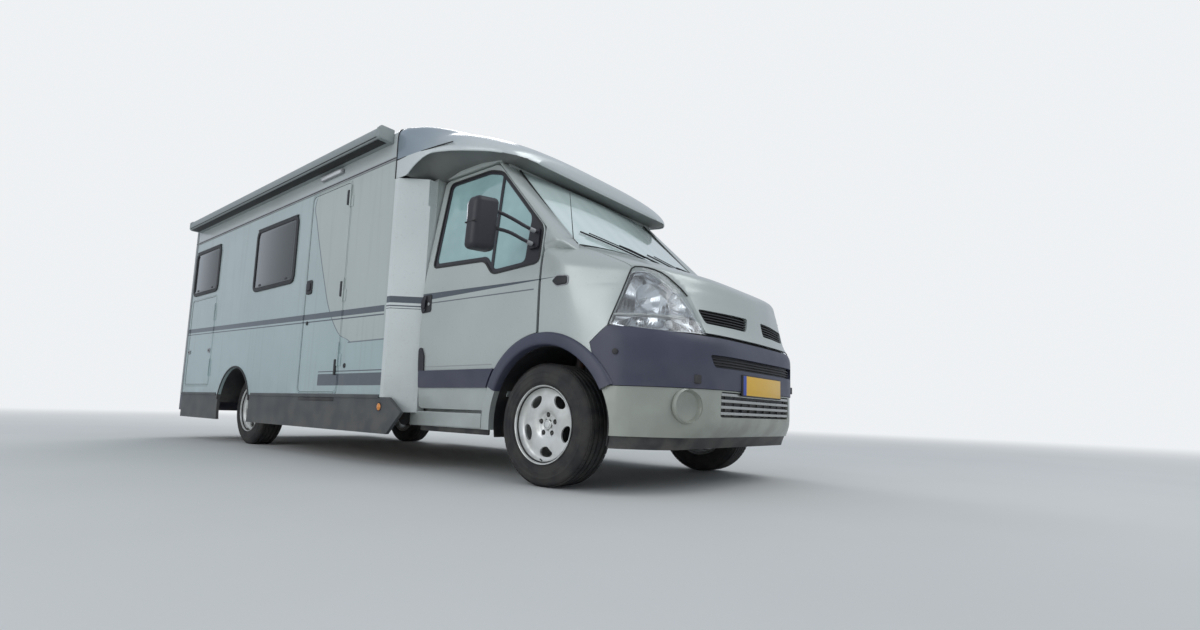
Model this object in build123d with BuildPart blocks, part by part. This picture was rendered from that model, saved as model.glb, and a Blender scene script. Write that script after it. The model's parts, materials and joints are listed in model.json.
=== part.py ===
from build123d import *
import os

# A low-profile motorhome: a sandwich-panel living box on a front-wheel-drive van cab.
# Millimetres. +X is forward, +Y is to the left and +Z is up.
# The origin is on the ground, at mid-length on the centre plane.

os.makedirs("parts", exist_ok=True)

# Overall sizes
LENGTH = 6480
FRONT_OVERHANG = 868
WHEELBASE = 4078
BOX_HALF_WIDTH = 1134
CAB_HALF_WIDTH = 995
ROOF_JOINT_Z = 2205
ROOF_EDGE_Z = 2440
ROOF_CROWN_Z = 2560
FRONT_AXLE_X = LENGTH / 2 - FRONT_OVERHANG
REAR_AXLE_X = FRONT_AXLE_X - WHEELBASE
REAR_END_X = -LENGTH / 2


def ahead(distance):
    """The x of a point that far ahead of the front axle; behind it the distance is negative."""
    return FRONT_AXLE_X + distance


# Clearances
RUN_GAP = 0.3  # between a turning piece and what carries it
SHUT_GAP = 5  # round a door or a lid

# Wheels and running gear
TYRE_RADIUS = 345
TYRE_HALF_WIDTH = 112
BEAD_RADIUS = 205
BEAD_HALF_WIDTH = 100
FLANGE_RADIUS = 222
FLANGE_WIDTH = 8
BARREL_WALL = 10
FRONT_HALF_TRACK = 870
REAR_HALF_TRACK = 862
SPINDLE_RADIUS = 32
HUB_RADIUS = 70
HUB_INNER = 16  # outboard distances from the wheel's centre plane
HUB_OUTER = 62
DISC_INNER = 40
DISC_OUTER = 52
RIM_HOLES = 5
RIM_HOLE_RADIUS = 28
RIM_HOLE_CIRCLE = 150
KINGPIN_Y = 776
KINGPIN_RADIUS = 26
KINGPIN_LOW_Z = TYRE_RADIUS - 135
KINGPIN_HIGH_Z = TYRE_RADIUS + 145
ARCH_RADIUS = 447
FLARE_WIDTH = 70
REAR_ARCH_RADIUS = 395

# Ladder frame and floors
RAIL_INNER_Y = 440
RAIL_OUTER_Y = 520
RAIL_LOW_Z = 400
FLOOR_LOW_Z = 500
FLOOR_HIGH_Z = 560
CAB_FLOOR_HIGH_Z = 540
BEAM_LOW_Z = 250
BEAM_HIGH_Z = 310
BEAM_HALF_X = 120

# Living box
WALL = 34
WALL_LOW_Z = 478
BOX_FRONT_X = ahead(-1430)
REAR_BUMPER_DEPTH = 27
BOX_REAR_X = REAR_END_X + REAR_BUMPER_DEPTH
WALL_INNER_Y = BOX_HALF_WIDTH - WALL
WINDOW_PROUD = 12
SKIRT_LOW_Z = 228
SKIRT_WALL = 25
SKIRT_Y = BOX_HALF_WIDTH - 2

# Entry door and garage doors in the side walls
ENTRY_REAR_X = ahead(-2700)
ENTRY_FRONT_X = ahead(-2050)
ENTRY_LOW_Z = 500
GARAGE_REAR_X = BOX_REAR_X + 85
GARAGE_FRONT_X = GARAGE_REAR_X + 720
GARAGE_LOW_Z = 572
GARAGE_HIGH_Z = 1530
HINGE_RADIUS = 8
HINGE_PLATE = 4
HINGE_REACH = 40
HINGE_LENGTH = 90

# Cab
SKIN = 30
SILL_LOW_Z = 296
DOOR_LOW_Z = 400
DOOR_HIGH_Z = 2060
DOOR_REAR_X = ahead(-1205)
DOOR_FRONT_X = ahead(-57)
WING_REAR_X = ahead(-40)
DOOR_DEPTH = 70
CAB_FLOOR_Y = 885
FRAME_DEPTH = 40
BELT_Z = 1250
BELT_Y = CAB_HALF_WIDTH - 7
CANT_Y = CAB_HALF_WIDTH - 140
PILLAR_REAR_X = ahead(-1290)
PILLAR_FRONT_X = ahead(-1215)
PILLAR_OUTER_Y = CAB_HALF_WIDTH - DOOR_DEPTH - SHUT_GAP
PILLAR_INNER_Y = PILLAR_OUTER_Y - 70
CANT_RAIL_LOW_Z = DOOR_HIGH_Z + 6
CANT_RAIL_HIGH_Z = 2100
FIREWALL_X = ahead(-430)
FIREWALL_HIGH_Z = 795
DASH_WALL_X = ahead(-130)
COWL_FRONT_X = ahead(-45)
COWL_LOW_Z = 1370
COWL_HIGH_Z = 1420
DOOR_PIN_X = ahead(-50)
DOOR_PIN_Y = CAB_HALF_WIDTH - 7
DOOR_PIN_RADIUS = 6
BONNET_PIN_X = ahead(36)
BONNET_PIN_Z = 1385
DOOR_SLANT = 1440  # on the slanted edge of a door, distance ahead of the axle + height
SCREEN_SLANT = 1466  # the same sum on the windscreen and its pillars


def block(x_low, x_high, y_low, y_high, z_low, z_high, mode=Mode.ADD):
    """A box between two limits on each axis, in any order."""
    centre = ((x_low + x_high) / 2, (y_low + y_high) / 2, (z_low + z_high) / 2)
    with Locations(centre):
        Box(abs(x_high - x_low), abs(y_high - y_low), abs(z_high - z_low), mode=mode)


def side_prism(outline, y_low, y_high, mode=Mode.ADD):
    """A side-view outline of (x, z) points, extruded across from one y to the other."""
    with BuildSketch(Plane.XZ.offset(-max(y_low, y_high))) as profile:
        with BuildLine():
            Polyline(*outline, close=True)
        make_face()
    extrude(profile.sketch, amount=abs(y_high - y_low), mode=mode)


def plan_prism(outline, z_low, z_high, mode=Mode.ADD):
    """A plan outline of (x, y) points, extruded up from one z to the other."""
    with BuildSketch(Plane.XY.offset(z_low)) as profile:
        with BuildLine():
            Polyline(*outline, close=True)
        make_face()
    extrude(profile.sketch, amount=z_high - z_low, mode=mode)


def front_prism(outline, x_low, x_high, mode=Mode.ADD):
    """A front-view outline of (y, z) points, extruded forward from one x to the other."""
    with BuildSketch(Plane.YZ.offset(x_low)) as profile:
        with BuildLine():
            Polyline(*outline, close=True)
        make_face()
    extrude(profile.sketch, amount=x_high - x_low, mode=mode)


def rod(start, end, radius, mode=Mode.ADD):
    """A round bar between two points."""
    axis = Vector(*end) - Vector(*start)
    with BuildSketch(Plane(origin=start, z_dir=axis)) as section:
        Circle(radius)
    extrude(section.sketch, amount=axis.length, mode=mode)


def finish(piece, name):
    piece.part.label = name
    export_step(piece.part, f"parts/{name}.step")


# Ladder frame: two rails and the members between them, bolted face to face
with BuildPart() as chassis_frame:
    RAIL_FRONT_X = ahead(730)
    RAIL_REAR_X = BOX_REAR_X + WALL
    for side in (-1, 1):
        block(RAIL_REAR_X, RAIL_FRONT_X, side * RAIL_INNER_Y, side * RAIL_OUTER_Y, RAIL_LOW_Z, FLOOR_LOW_Z)
    member_half_y = RAIL_INNER_Y - RUN_GAP
    for member_x in (ahead(-700), ahead(-1900), ahead(-3000), REAR_AXLE_X + 500, REAR_AXLE_X - 450):
        block(member_x - 40, member_x + 40, -member_half_y, member_half_y, RAIL_LOW_Z + 20, FLOOR_LOW_Z)
    BUMPER_BEAM_X = RAIL_FRONT_X + RUN_GAP
    block(BUMPER_BEAM_X, BUMPER_BEAM_X + 60, -RAIL_OUTER_Y, RAIL_OUTER_Y, RAIL_LOW_Z, FLOOR_LOW_Z)
finish(chassis_frame, "chassis_frame")

# Front suspension: cross beam, lower arms, struts and the drive shafts
STRUT_Y = 690
STRUT_TOP_Y = 640
STRUT_TOP_Z = 950
ENGINE_HALF_Y = 330
with BuildPart() as front_suspension:
    block(ahead(-BEAM_HALF_X), ahead(BEAM_HALF_X), -RAIL_OUTER_Y, RAIL_OUTER_Y, BEAM_LOW_Z, BEAM_HIGH_Z)
    for side in (-1, 1):
        for post_x in (-90, 90):
            block(
                ahead(post_x - 30), ahead(post_x + 30),
                side * RAIL_INNER_Y, side * RAIL_OUTER_Y, BEAM_HIGH_Z, RAIL_LOW_Z,
            )
        arm_top_z = KINGPIN_LOW_Z - RUN_GAP
        block(ahead(-35), ahead(35), side * 430, side * (KINGPIN_Y + 14), arm_top_z - 25, arm_top_z)
        block(ahead(-35), ahead(35), side * 430, side * 500, arm_top_z + RUN_GAP, BEAM_LOW_Z)
        lug_z = KINGPIN_HIGH_Z + RUN_GAP
        block(ahead(-24), ahead(24), side * (STRUT_Y - 28), side * (KINGPIN_Y + 20), lug_z, lug_z + 24)
        rod((ahead(0), side * STRUT_Y, lug_z + 12), (ahead(0), side * STRUT_TOP_Y, STRUT_TOP_Z + 20), 28)
        block(
            ahead(-60), ahead(60), side * 560, side * 740, STRUT_TOP_Z, STRUT_TOP_Z + 60,
            mode=Mode.SUBTRACT,
        )
        shaft_end_y = KINGPIN_Y - KINGPIN_RADIUS - RUN_GAP
        rod((ahead(0), side * ENGINE_HALF_Y, TYRE_RADIUS), (ahead(0), side * shaft_end_y, TYRE_RADIUS), 15)
finish(front_suspension, "front_suspension")

# Engine and gearbox as one plain block
with BuildPart() as engine_block:
    block(ahead(-60), ahead(440), -ENGINE_HALF_Y, ENGINE_HALF_Y, BEAM_HIGH_Z, 1000)
finish(engine_block, "engine_block")

# Rear dead axle: beam, drums and spindles, on two leaf springs under the rails
with BuildPart() as rear_axle:
    SPRING_LOW_Z = TYRE_RADIUS + 35
    rod((REAR_AXLE_X, -770, TYRE_RADIUS), (REAR_AXLE_X, 770, TYRE_RADIUS), 35)
    for side in (-1, 1):
        spindle_end_y = side * (REAR_HALF_TRACK + HUB_OUTER - 4)
        rod(
            (REAR_AXLE_X, side * 760, TYRE_RADIUS), (REAR_AXLE_X, spindle_end_y, TYRE_RADIUS),
            SPINDLE_RADIUS,
        )
        rod((REAR_AXLE_X, side * 772, TYRE_RADIUS), (REAR_AXLE_X, side * 842, TYRE_RADIUS), 150)
        block(REAR_AXLE_X - 60, REAR_AXLE_X + 60, side * 450, side * 510, TYRE_RADIUS + 10, SPRING_LOW_Z)
        block(
            REAR_AXLE_X - 620, REAR_AXLE_X + 620, side * 450, side * 510, SPRING_LOW_Z - 8,
            SPRING_LOW_Z + 10,
        )
        for end_x in (-600, 600):
            block(
                REAR_AXLE_X + end_x - 20, REAR_AXLE_X + end_x + 20,
                side * 450, side * 510, SPRING_LOW_Z, RAIL_LOW_Z,
            )
finish(rear_axle, "rear_axle")

# Fuel tank under the left of the floor and waste tank between the rails at the back
with BuildPart() as tanks:
    block(ahead(-2300), ahead(-1500), 545, 960, 275, FLOOR_LOW_Z)
    block(BOX_REAR_X + 120, REAR_AXLE_X - 520, -400, 400, 300, FLOOR_LOW_Z)
finish(tanks, "tanks")

# Exhaust: front pipe, silencer against the right rail and tail pipe
with BuildPart() as exhaust:
    PIPE_Y = -340
    PIPE_Z = 360
    rod((ahead(-60), PIPE_Y + 30, PIPE_Z), (ahead(-2150), PIPE_Y + 30, PIPE_Z), 26)
    block(ahead(-2650), ahead(-2100), -RAIL_INNER_Y, -RAIL_INNER_Y + 200, 310, RAIL_LOW_Z + 15)
    rod((ahead(-2640), PIPE_Y, PIPE_Z), (ahead(-3250), PIPE_Y, PIPE_Z), 26)
finish(exhaust, "exhaust")

# Front body forms: the outer surface and the core inside its skin. A form is a side profile
# across the cab, trimmed by a plan profile and by a crown carried down the bonnet's slope.
BONNET_SLOPE = (1, 0, -0.39)
LAMP_DEPTH = 110
BUMPER_TOP_Z = 850
APRON_TOP_Z = 566
APRON_REAR = 380  # its rear edge, ahead of the axle
VALANCE_Z = 240
FORM_REAR_X = ahead(-60)
NOSE_PLAN = (  # x ahead and y at the bumper's top, then x ahead and y that much higher
    (826, 0, 744, 0), (814, 250, 722, 250), (785, 500, 615, 500), (775, 580, 553, 580),
    (700, 725, 480, 685),
    (600, 850, 400, 820), (430, 965, 230, 845), (200, 1012, 40, 1000), (-200, 1012, -200, 1012),
)
NOSE_RISE = 800


def nose_keep(inset):
    """All below the bumper's top, and above it a plan that shrinks back as it rises."""
    move = 0.8 * inset
    with BuildPart() as keep:
        sections = []
        for column, z in ((0, BUMPER_TOP_Z), (2, BUMPER_TOP_Z + NOSE_RISE)):
            half = [(ahead(row[column] - move), max(row[column + 1] - move, 0)) for row in NOSE_PLAN]
            with BuildSketch(Plane.XY.offset(z), mode=Mode.PRIVATE) as section:
                with BuildLine():
                    Polyline(*half, *[(x, -y) for x, y in reversed(half[1:])], close=True)
                make_face()
            sections.append(section.sketch.face())
        loft(sections, ruled=True)
        block(ahead(-200), ahead(960), -1100, 1100, -1000, BUMPER_TOP_Z)
    return keep.part


def front_form(inset):
    """The cab ahead of the doors, its faces moved in by inset; a core runs out below and behind."""
    low_z = VALANCE_Z - 5 * inset
    rear_x = FORM_REAR_X - inset
    with BuildPart() as form:
        with BuildSketch(Plane.XZ.offset(-CAB_HALF_WIDTH)) as side_profile:
            with BuildLine():
                nose_low = (ahead(700 - inset), low_z)
                lip_low = (ahead(759 - inset), 305)
                lip = (ahead(836 - inset), 393)
                bumper_low = (ahead(862 - inset), 540)
                bumper_top = (ahead(842 - inset), 850)
                nose = (ahead(816 - inset), 1085 - inset)
                bonnet_front = (ahead(775 - inset), 1170 - inset)
                bonnet_rear = (rear_x, 1517 - inset)
                Polyline((rear_x, low_z), nose_low, lip_low)
                ThreePointArc(lip_low, (ahead(812 - inset), 335), lip)
                Line(lip, bumper_low)
                ThreePointArc(bumper_low, (ahead(868 - inset), 700), bumper_top)
                Line(bumper_top, nose)
                ThreePointArc(nose, (ahead(803 - inset), 1135 - inset), bonnet_front)
                ThreePointArc(bonnet_front, (ahead(400 - inset), 1358 - inset), bonnet_rear)
                Line(bonnet_rear, (rear_x, low_z))
            make_face()
        extrude(side_profile.sketch, amount=2 * CAB_HALF_WIDTH)
        with BuildSketch(Plane.XY.offset(low_z)) as plan_profile:
            with BuildLine():
                for side in (-1, 1):
                    rear = (rear_x, side * (CAB_HALF_WIDTH - 3 - inset))
                    shoulder = (ahead(200), side * (CAB_HALF_WIDTH - 3 - inset))
                    corner = (ahead(700 - 0.7 * inset), side * (750 - 0.7 * inset))
                    bend = (ahead(840 - inset), side * (490 - 0.5 * inset))
                    tip = (ahead(868 - inset), 0)
                    Line(rear, shoulder)
                    ThreePointArc(shoulder, (ahead(480 - 0.4 * inset), side * (944 - 0.9 * inset)), corner)
                    ThreePointArc(corner, (ahead(788 - 0.8 * inset), side * (625 - 0.7 * inset)), bend)
                    ThreePointArc(bend, (ahead(862 - inset), side * 250), tip)
                Line((rear_x, 3 + inset - CAB_HALF_WIDTH), (rear_x, CAB_HALF_WIDTH - 3 - inset))
            make_face()
        extrude(plan_profile.sketch, amount=2000, mode=Mode.INTERSECT)
        with BuildSketch(Plane.YZ.offset(rear_x)) as crown_profile:
            with BuildLine():
                for side in (-1, 1):
                    top = (0, 1519 - inset)
                    shoulder = (side * 760, 1466 - inset)
                    waist = (side * (985 - inset), 1200 - inset / 2)
                    foot = (side * (CAB_HALF_WIDTH + 3 - inset), 900)
                    low = (side * (CAB_HALF_WIDTH + 3 - inset), -700)
                    ThreePointArc(top, (side * 400, 1505 - inset), shoulder)
                    ThreePointArc(shoulder, (side * (912 - 0.7 * inset), 1362 - 0.7 * inset), waist)
                    Polyline(waist, foot, low)
                Line((-CAB_HALF_WIDTH - 3 + inset, -700), (CAB_HALF_WIDTH + 3 - inset, -700))
            make_face()
        extrude(crown_profile.sketch, amount=1200, dir=BONNET_SLOPE, mode=Mode.INTERSECT)
        add(nose_keep(inset), mode=Mode.INTERSECT)
    return form.part


outer_form = front_form(0)
skin_core = front_form(SKIN)
lamp_core = front_form(LAMP_DEPTH)

# Windscreen pillars: a plan section carried up and back along the slant, seated on the wings
SCREEN_LOW_Z = 1405
SCREEN_HIGH_Z = CANT_RAIL_LOW_Z - 30
SCREEN_EDGE = [(776, SCREEN_LOW_Z), (706, CANT_RAIL_HIGH_Z)]
with BuildPart() as pillars:
    for side in (-1, 1):
        foot_z = SCREEN_LOW_Z
        door_x = ahead(DOOR_SLANT + SHUT_GAP - foot_z)
        front_x = ahead(SCREEN_SLANT - foot_z)
        lean = (BELT_Y - CANT_Y) / (DOOR_HIGH_Z - BELT_Z)
        outer_y = BELT_Y - lean * (foot_z - BELT_Z)
        inner_y = outer_y - FRAME_DEPTH - SHUT_GAP
        section = [
            (door_x, outer_y), (front_x, outer_y - 12), (front_x, 690), (front_x - 70, 690),
            (front_x - 70, inner_y), (door_x, inner_y),
        ]
        with BuildSketch(Plane.XY.offset(foot_z)) as pillar:
            with BuildLine():
                Polyline(*[(x, side * y) for x, y in section], close=True)
            make_face()
        rise = CANT_RAIL_HIGH_Z - foot_z
        extrude(pillar.sketch, amount=rise * (2 + lean**2) ** 0.5, dir=(-1, -side * lean, 1))
    screen_gap = SCREEN_EDGE + [(-y, z) for y, z in reversed(SCREEN_EDGE)]
    front_prism(screen_gap, ahead(-800), ahead(300), mode=Mode.SUBTRACT)
    add(outer_form, mode=Mode.SUBTRACT)

# Cab shell: floor, sills, stepped firewall, cowl, pillars and roof rails in one welding
with BuildPart() as cab_shell:
    block(BOX_FRONT_X, FIREWALL_X, -CAB_FLOOR_Y, CAB_FLOOR_Y, FLOOR_LOW_Z, CAB_FLOOR_HIGH_Z)
    block(FIREWALL_X, FIREWALL_X + SKIN, -CAB_FLOOR_Y, CAB_FLOOR_Y, FLOOR_LOW_Z, FIREWALL_HIGH_Z)
    block(FIREWALL_X, DASH_WALL_X + SKIN, -912, 912, FIREWALL_HIGH_Z, FIREWALL_HIGH_Z + SKIN)
    block(DASH_WALL_X, DASH_WALL_X + SKIN, -880, 880, FIREWALL_HIGH_Z, COWL_HIGH_Z)
    block(DASH_WALL_X, COWL_FRONT_X, -880, 880, COWL_LOW_Z, COWL_HIGH_Z)
    block(PILLAR_REAR_X, PILLAR_FRONT_X, -PILLAR_INNER_Y, PILLAR_INNER_Y, CANT_RAIL_LOW_Z, CANT_RAIL_HIGH_Z)
    block(ahead(-640), ahead(-560), -CANT_Y + 40, CANT_Y - 40, CANT_RAIL_LOW_Z - 25, CANT_RAIL_HIGH_Z)
    for side in (-1, 1):
        sill_y = CAB_HALF_WIDTH - 20
        block(
            PILLAR_REAR_X, ahead(-460), side * (CAB_FLOOR_Y - 35), side * sill_y, SILL_LOW_Z,
            DOOR_LOW_Z - 8,
        )
        block(
            PILLAR_REAR_X, ahead(-460), side * (CAB_FLOOR_Y - 35), side * CAB_FLOOR_Y, SILL_LOW_Z,
            CAB_FLOOR_HIGH_Z
        )
        block(
            PILLAR_REAR_X, PILLAR_FRONT_X, side * PILLAR_INNER_Y, side * PILLAR_OUTER_Y,
            FLOOR_LOW_Z, CANT_RAIL_HIGH_Z,
        )
        block(
            PILLAR_REAR_X, ahead(-560), side * (CANT_Y - 80), side * (CANT_Y + 20),
            CANT_RAIL_LOW_Z, CANT_RAIL_HIGH_Z,
        )
        block(
            WING_REAR_X, ahead(20), side * 860, side * (CAB_HALF_WIDTH - 10 - SKIN), FIREWALL_HIGH_Z, 1030,
        )
        block(COWL_FRONT_X - 65, COWL_FRONT_X, side * 790, side * 880, COWL_LOW_Z, COWL_HIGH_Z + 100)
        block(COWL_FRONT_X, BONNET_PIN_X, side * 562, side * 590, BONNET_PIN_Z - 14, BONNET_PIN_Z)
        rod(
            (BONNET_PIN_X, side * 560, BONNET_PIN_Z), (BONNET_PIN_X, side * 590, BONNET_PIN_Z),
            HINGE_RADIUS,
        )
        block(DASH_WALL_X + SKIN, ahead(100), side * 560, side * 880, STRUT_TOP_Z, STRUT_TOP_Z + SKIN)
        block(DASH_WALL_X, ahead(20), side * 730, side * 912, FIREWALL_HIGH_Z, FIREWALL_HIGH_Z + SKIN)
    add(pillars.part)
    for side in (-1, 1):
        # The rear leg of the wheel arch, from the wing down to the sill
        with BuildSketch(Plane.XZ.offset(-max(side * 940, side * 985))) as leg:
            with Locations((FRONT_AXLE_X, TYRE_RADIUS)):
                Circle(ARCH_RADIUS + FLARE_WIDTH)
                Circle(ARCH_RADIUS, mode=Mode.SUBTRACT)
            with Locations((WING_REAR_X, SILL_LOW_Z)):
                Rectangle(600, 600, align=(Align.MAX, Align.MIN), mode=Mode.INTERSECT)
        extrude(leg.sketch, amount=45)
finish(cab_shell, "cab_shell")

# Where the front panels meet, for the left half: plan points (x ahead, y) and side points (x ahead, z)
BONNET_SIDE = [(-10, 752), (480, 830), (684, 614), (712, 588), (760, 548), (960, 548)]
BONNET_GAP = 14
LAMP_GAP = 25
LAMP_SIDE = [(425, 884), (482, 1215), (720, 1215), (960, 1000), (960, 853), (800, 853)]
BUMPER_SIDE = [(388, 566), (326, 793), (425, 884), (800, 848), (960, 848), (960, 566)]


def beyond_bonnet(gap):
    """Plan outline, left half, of all that lies outside the bonnet's edge by a gap."""
    edge = [(ahead(x + 0.5 * gap), y + gap) for x, y in BONNET_SIDE]
    return edge + [(ahead(960), 1100), (ahead(-10), 1100)]


with BuildPart() as bonnet:
    add(outer_form)
    add(skin_core, mode=Mode.SUBTRACT)
    bonnet_plan = [(ahead(x), y) for x, y in BONNET_SIDE]
    bonnet_plan += [(x, -y) for x, y in reversed(bonnet_plan)]
    plan_prism(bonnet_plan, BUMPER_TOP_Z + 8, 1600, mode=Mode.INTERSECT)
    with BuildSketch(Plane.XY.offset(1300)) as rear_cut:
        with BuildLine():
            ThreePointArc((ahead(70), -900), (ahead(145), 0), (ahead(70), 900))
            Polyline((ahead(70), 900), (ahead(-80), 900), (ahead(-80), -900), (ahead(70), -900))
        make_face()
    extrude(rear_cut.sketch, amount=300, mode=Mode.SUBTRACT)
    for side in (-1, 1):
        barrel_y = side * (590 + RUN_GAP)
        rod((BONNET_PIN_X, barrel_y, BONNET_PIN_Z), (BONNET_PIN_X, side * 620, BONNET_PIN_Z), HINGE_RADIUS)
        block(BONNET_PIN_X - 4, BONNET_PIN_X + 95, barrel_y, side * 620, BONNET_PIN_Z, BONNET_PIN_Z + 14)
        block(BONNET_PIN_X + 80, BONNET_PIN_X + 95, barrel_y, side * 620, BONNET_PIN_Z, BONNET_PIN_Z + 30)
finish(bonnet, "bonnet")

with BuildPart() as headlamps:
    add(outer_form)
    add(lamp_core, mode=Mode.SUBTRACT)
    side_prism([(ahead(x), z) for x, z in LAMP_SIDE], -CAB_HALF_WIDTH, CAB_HALF_WIDTH, mode=Mode.INTERSECT)
    inside = beyond_bonnet(LAMP_GAP)[:3]
    inside += [(ahead(960), inside[2][1])]  # the opening bonnet's corner moves forward past the lamp
    plan_prism(inside + [(x, -y) for x, y in reversed(inside)], 700, 1600, mode=Mode.SUBTRACT)
finish(headlamps, "headlamps")

with BuildPart() as front_bumper:
    add(outer_form)
    add(skin_core, mode=Mode.SUBTRACT)
    side_prism(
        [(ahead(x), z) for x, z in BUMPER_SIDE], -CAB_HALF_WIDTH, CAB_HALF_WIDTH, mode=Mode.INTERSECT,
    )
finish(front_bumper, "front_bumper")

with BuildPart() as front_apron:
    add(outer_form)
    add(skin_core, mode=Mode.SUBTRACT)
    block(
        ahead(APRON_REAR), ahead(960), -CAB_HALF_WIDTH, CAB_HALF_WIDTH, VALANCE_Z, APRON_TOP_Z,
        mode=Mode.INTERSECT
    )
    rod(
        (FRONT_AXLE_X, -1100, TYRE_RADIUS), (FRONT_AXLE_X, 1100, TYRE_RADIUS), ARCH_RADIUS,
        mode=Mode.SUBTRACT,
    )
finish(front_apron, "front_apron")

with BuildPart() as front_wings:
    for side in (-1, 1):
        wing_edge = beyond_bonnet(BONNET_GAP)[:2]
        wing_plan = [(WING_REAR_X, wing_edge[0][1])] + wing_edge + [(ahead(560), 1100), (WING_REAR_X, 1100)]
        plan_prism([(x, side * y) for x, y in wing_plan], BEAM_HIGH_Z, 1600)
    add(outer_form, mode=Mode.INTERSECT)
    add(skin_core, mode=Mode.SUBTRACT)
    side_prism([(ahead(x), z) for x, z in LAMP_SIDE], -CAB_HALF_WIDTH, CAB_HALF_WIDTH, mode=Mode.SUBTRACT)
    side_prism([(ahead(x), z) for x, z in BUMPER_SIDE], -CAB_HALF_WIDTH, CAB_HALF_WIDTH, mode=Mode.SUBTRACT)
    block(ahead(APRON_REAR), ahead(960), -1100, 1100, 0, APRON_TOP_Z, mode=Mode.SUBTRACT)
    rod(
        (FRONT_AXLE_X, -1100, TYRE_RADIUS), (FRONT_AXLE_X, 1100, TYRE_RADIUS), ARCH_RADIUS,
        mode=Mode.SUBTRACT,
    )
    block(ahead(-60), WING_REAR_X, -1100, 1100, 0, 2000, mode=Mode.SUBTRACT)
finish(front_wings, "front_wings")

# Windscreen: a bowed sheet carried up and back along the slant of the pillars
SCREEN_BOW = 55
SCREEN_THICK = 12
screen_corner_x = ahead(SCREEN_SLANT - 2 - SCREEN_LOW_Z)
with BuildPart() as windscreen:
    with BuildSketch(Plane.XY.offset(SCREEN_LOW_Z)) as bow:
        with BuildLine():
            for depth in (0, SCREEN_THICK):
                ends = [(screen_corner_x - depth, side * 790) for side in (-1, 1)]
                ThreePointArc(ends[0], (screen_corner_x + SCREEN_BOW - depth, 0), ends[1])
            for side in (-1, 1):
                Line((screen_corner_x, side * 790), (screen_corner_x - SCREEN_THICK, side * 790))
        make_face()
    extrude(bow.sketch, amount=(SCREEN_HIGH_Z - SCREEN_LOW_Z) * 2**0.5, dir=(-1, 0, 1))
    front_prism(screen_gap, ahead(-800), ahead(300), mode=Mode.INTERSECT)
    add(outer_form, mode=Mode.SUBTRACT)
finish(windscreen, "windscreen")

# Dashboard with the steering column, seats
COLUMN_Y = 400
COLUMN_FOOT = (ahead(-380), COLUMN_Y, 1040)
COLUMN_DIR = Vector(-0.6, 0, 0.8)
COLUMN_LENGTH = 230
column_top = Vector(*COLUMN_FOOT) + COLUMN_DIR * COLUMN_LENGTH
with BuildPart() as dashboard:
    dash_outline = [(-130, 826), (-130, 1340), (-250, 1355), (-440, 1250), (-470, 1120), (-400, 826)]
    side_prism([(ahead(x), z) for x, z in dash_outline], -860, 860)
    rod(COLUMN_FOOT, tuple(column_top), 30)
finish(dashboard, "dashboard")

WHEEL_RING_RADIUS = 200
with BuildPart() as steering_wheel:
    hub_centre = column_top + COLUMN_DIR * RUN_GAP
    hub_plane = Plane(origin=hub_centre, x_dir=(0, 1, 0), z_dir=COLUMN_DIR)
    with BuildSketch(hub_plane) as hub:
        Circle(55)
    extrude(hub.sketch, amount=40)
    with BuildSketch(hub_plane.offset(12)) as spokes:
        with PolarLocations(0, 3, start_angle=90):
            with Locations((WHEEL_RING_RADIUS / 2, 0)):
                Rectangle(WHEEL_RING_RADIUS, 36)
    extrude(spokes.sketch, amount=14)
    with Locations(hub_plane.offset(22)):
        Torus(WHEEL_RING_RADIUS, 15)
finish(steering_wheel, "steering_wheel")

SEAT_Y = 420
with BuildPart() as cab_seats:
    for side in (-1, 1):
        block(ahead(-1130), ahead(-720), side * SEAT_Y - 200, side * SEAT_Y + 200, CAB_FLOOR_HIGH_Z, 850)
        block(ahead(-1190), ahead(-680), side * SEAT_Y - 245, side * SEAT_Y + 245, 850, 980)
        back = [(-1190, 980), (-1060, 980), (-1110, 1560), (-1200, 1560)]
        side_prism([(ahead(x), z) for x, z in back], side * SEAT_Y - 235, side * SEAT_Y + 235)
        head = [(-1190, 1560), (-1120, 1560), (-1125, 1760), (-1195, 1760)]
        side_prism([(ahead(x), z) for x, z in head], side * SEAT_Y - 130, side * SEAT_Y + 130)
finish(cab_seats, "cab_seats")

# Cab doors with their mirrors, and their glass
DOOR_SIDE = [
    (DOOR_REAR_X, DOOR_LOW_Z), (DOOR_REAR_X, DOOR_HIGH_Z - 40), (DOOR_REAR_X + 40, DOOR_HIGH_Z),
    (ahead(DOOR_SLANT - DOOR_HIGH_Z), DOOR_HIGH_Z),
    (DOOR_FRONT_X, DOOR_SLANT + FRONT_AXLE_X - DOOR_FRONT_X),
    (DOOR_FRONT_X, DOOR_LOW_Z),
]
DOOR_FRONT = [
    (CAB_HALF_WIDTH - 27, DOOR_LOW_Z), (CAB_HALF_WIDTH - 10, 600), (CAB_HALF_WIDTH, 860), (BELT_Y, BELT_Z),
    (CANT_Y, DOOR_HIGH_Z), (CANT_Y - FRAME_DEPTH, DOOR_HIGH_Z), (BELT_Y - FRAME_DEPTH, BELT_Z),
    (CAB_HALF_WIDTH - DOOR_DEPTH, BELT_Z - 30), (CAB_HALF_WIDTH - DOOR_DEPTH, 600),
    (CAB_HALF_WIDTH - 27 - DOOR_DEPTH, DOOR_LOW_Z),
]
DOOR_WINDOW = [
    (-1118, 1405), (-1118, 2008), (-610, 2008), (-210, 1592), (-210, 1290), (-470, 1285), (-560, 1345),
]
MIRROR_X = ahead(-215)
MIRROR_Y = 1290
MIRROR_Z = 1445
MIRROR_SIZE = (95, 160, 290)
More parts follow.
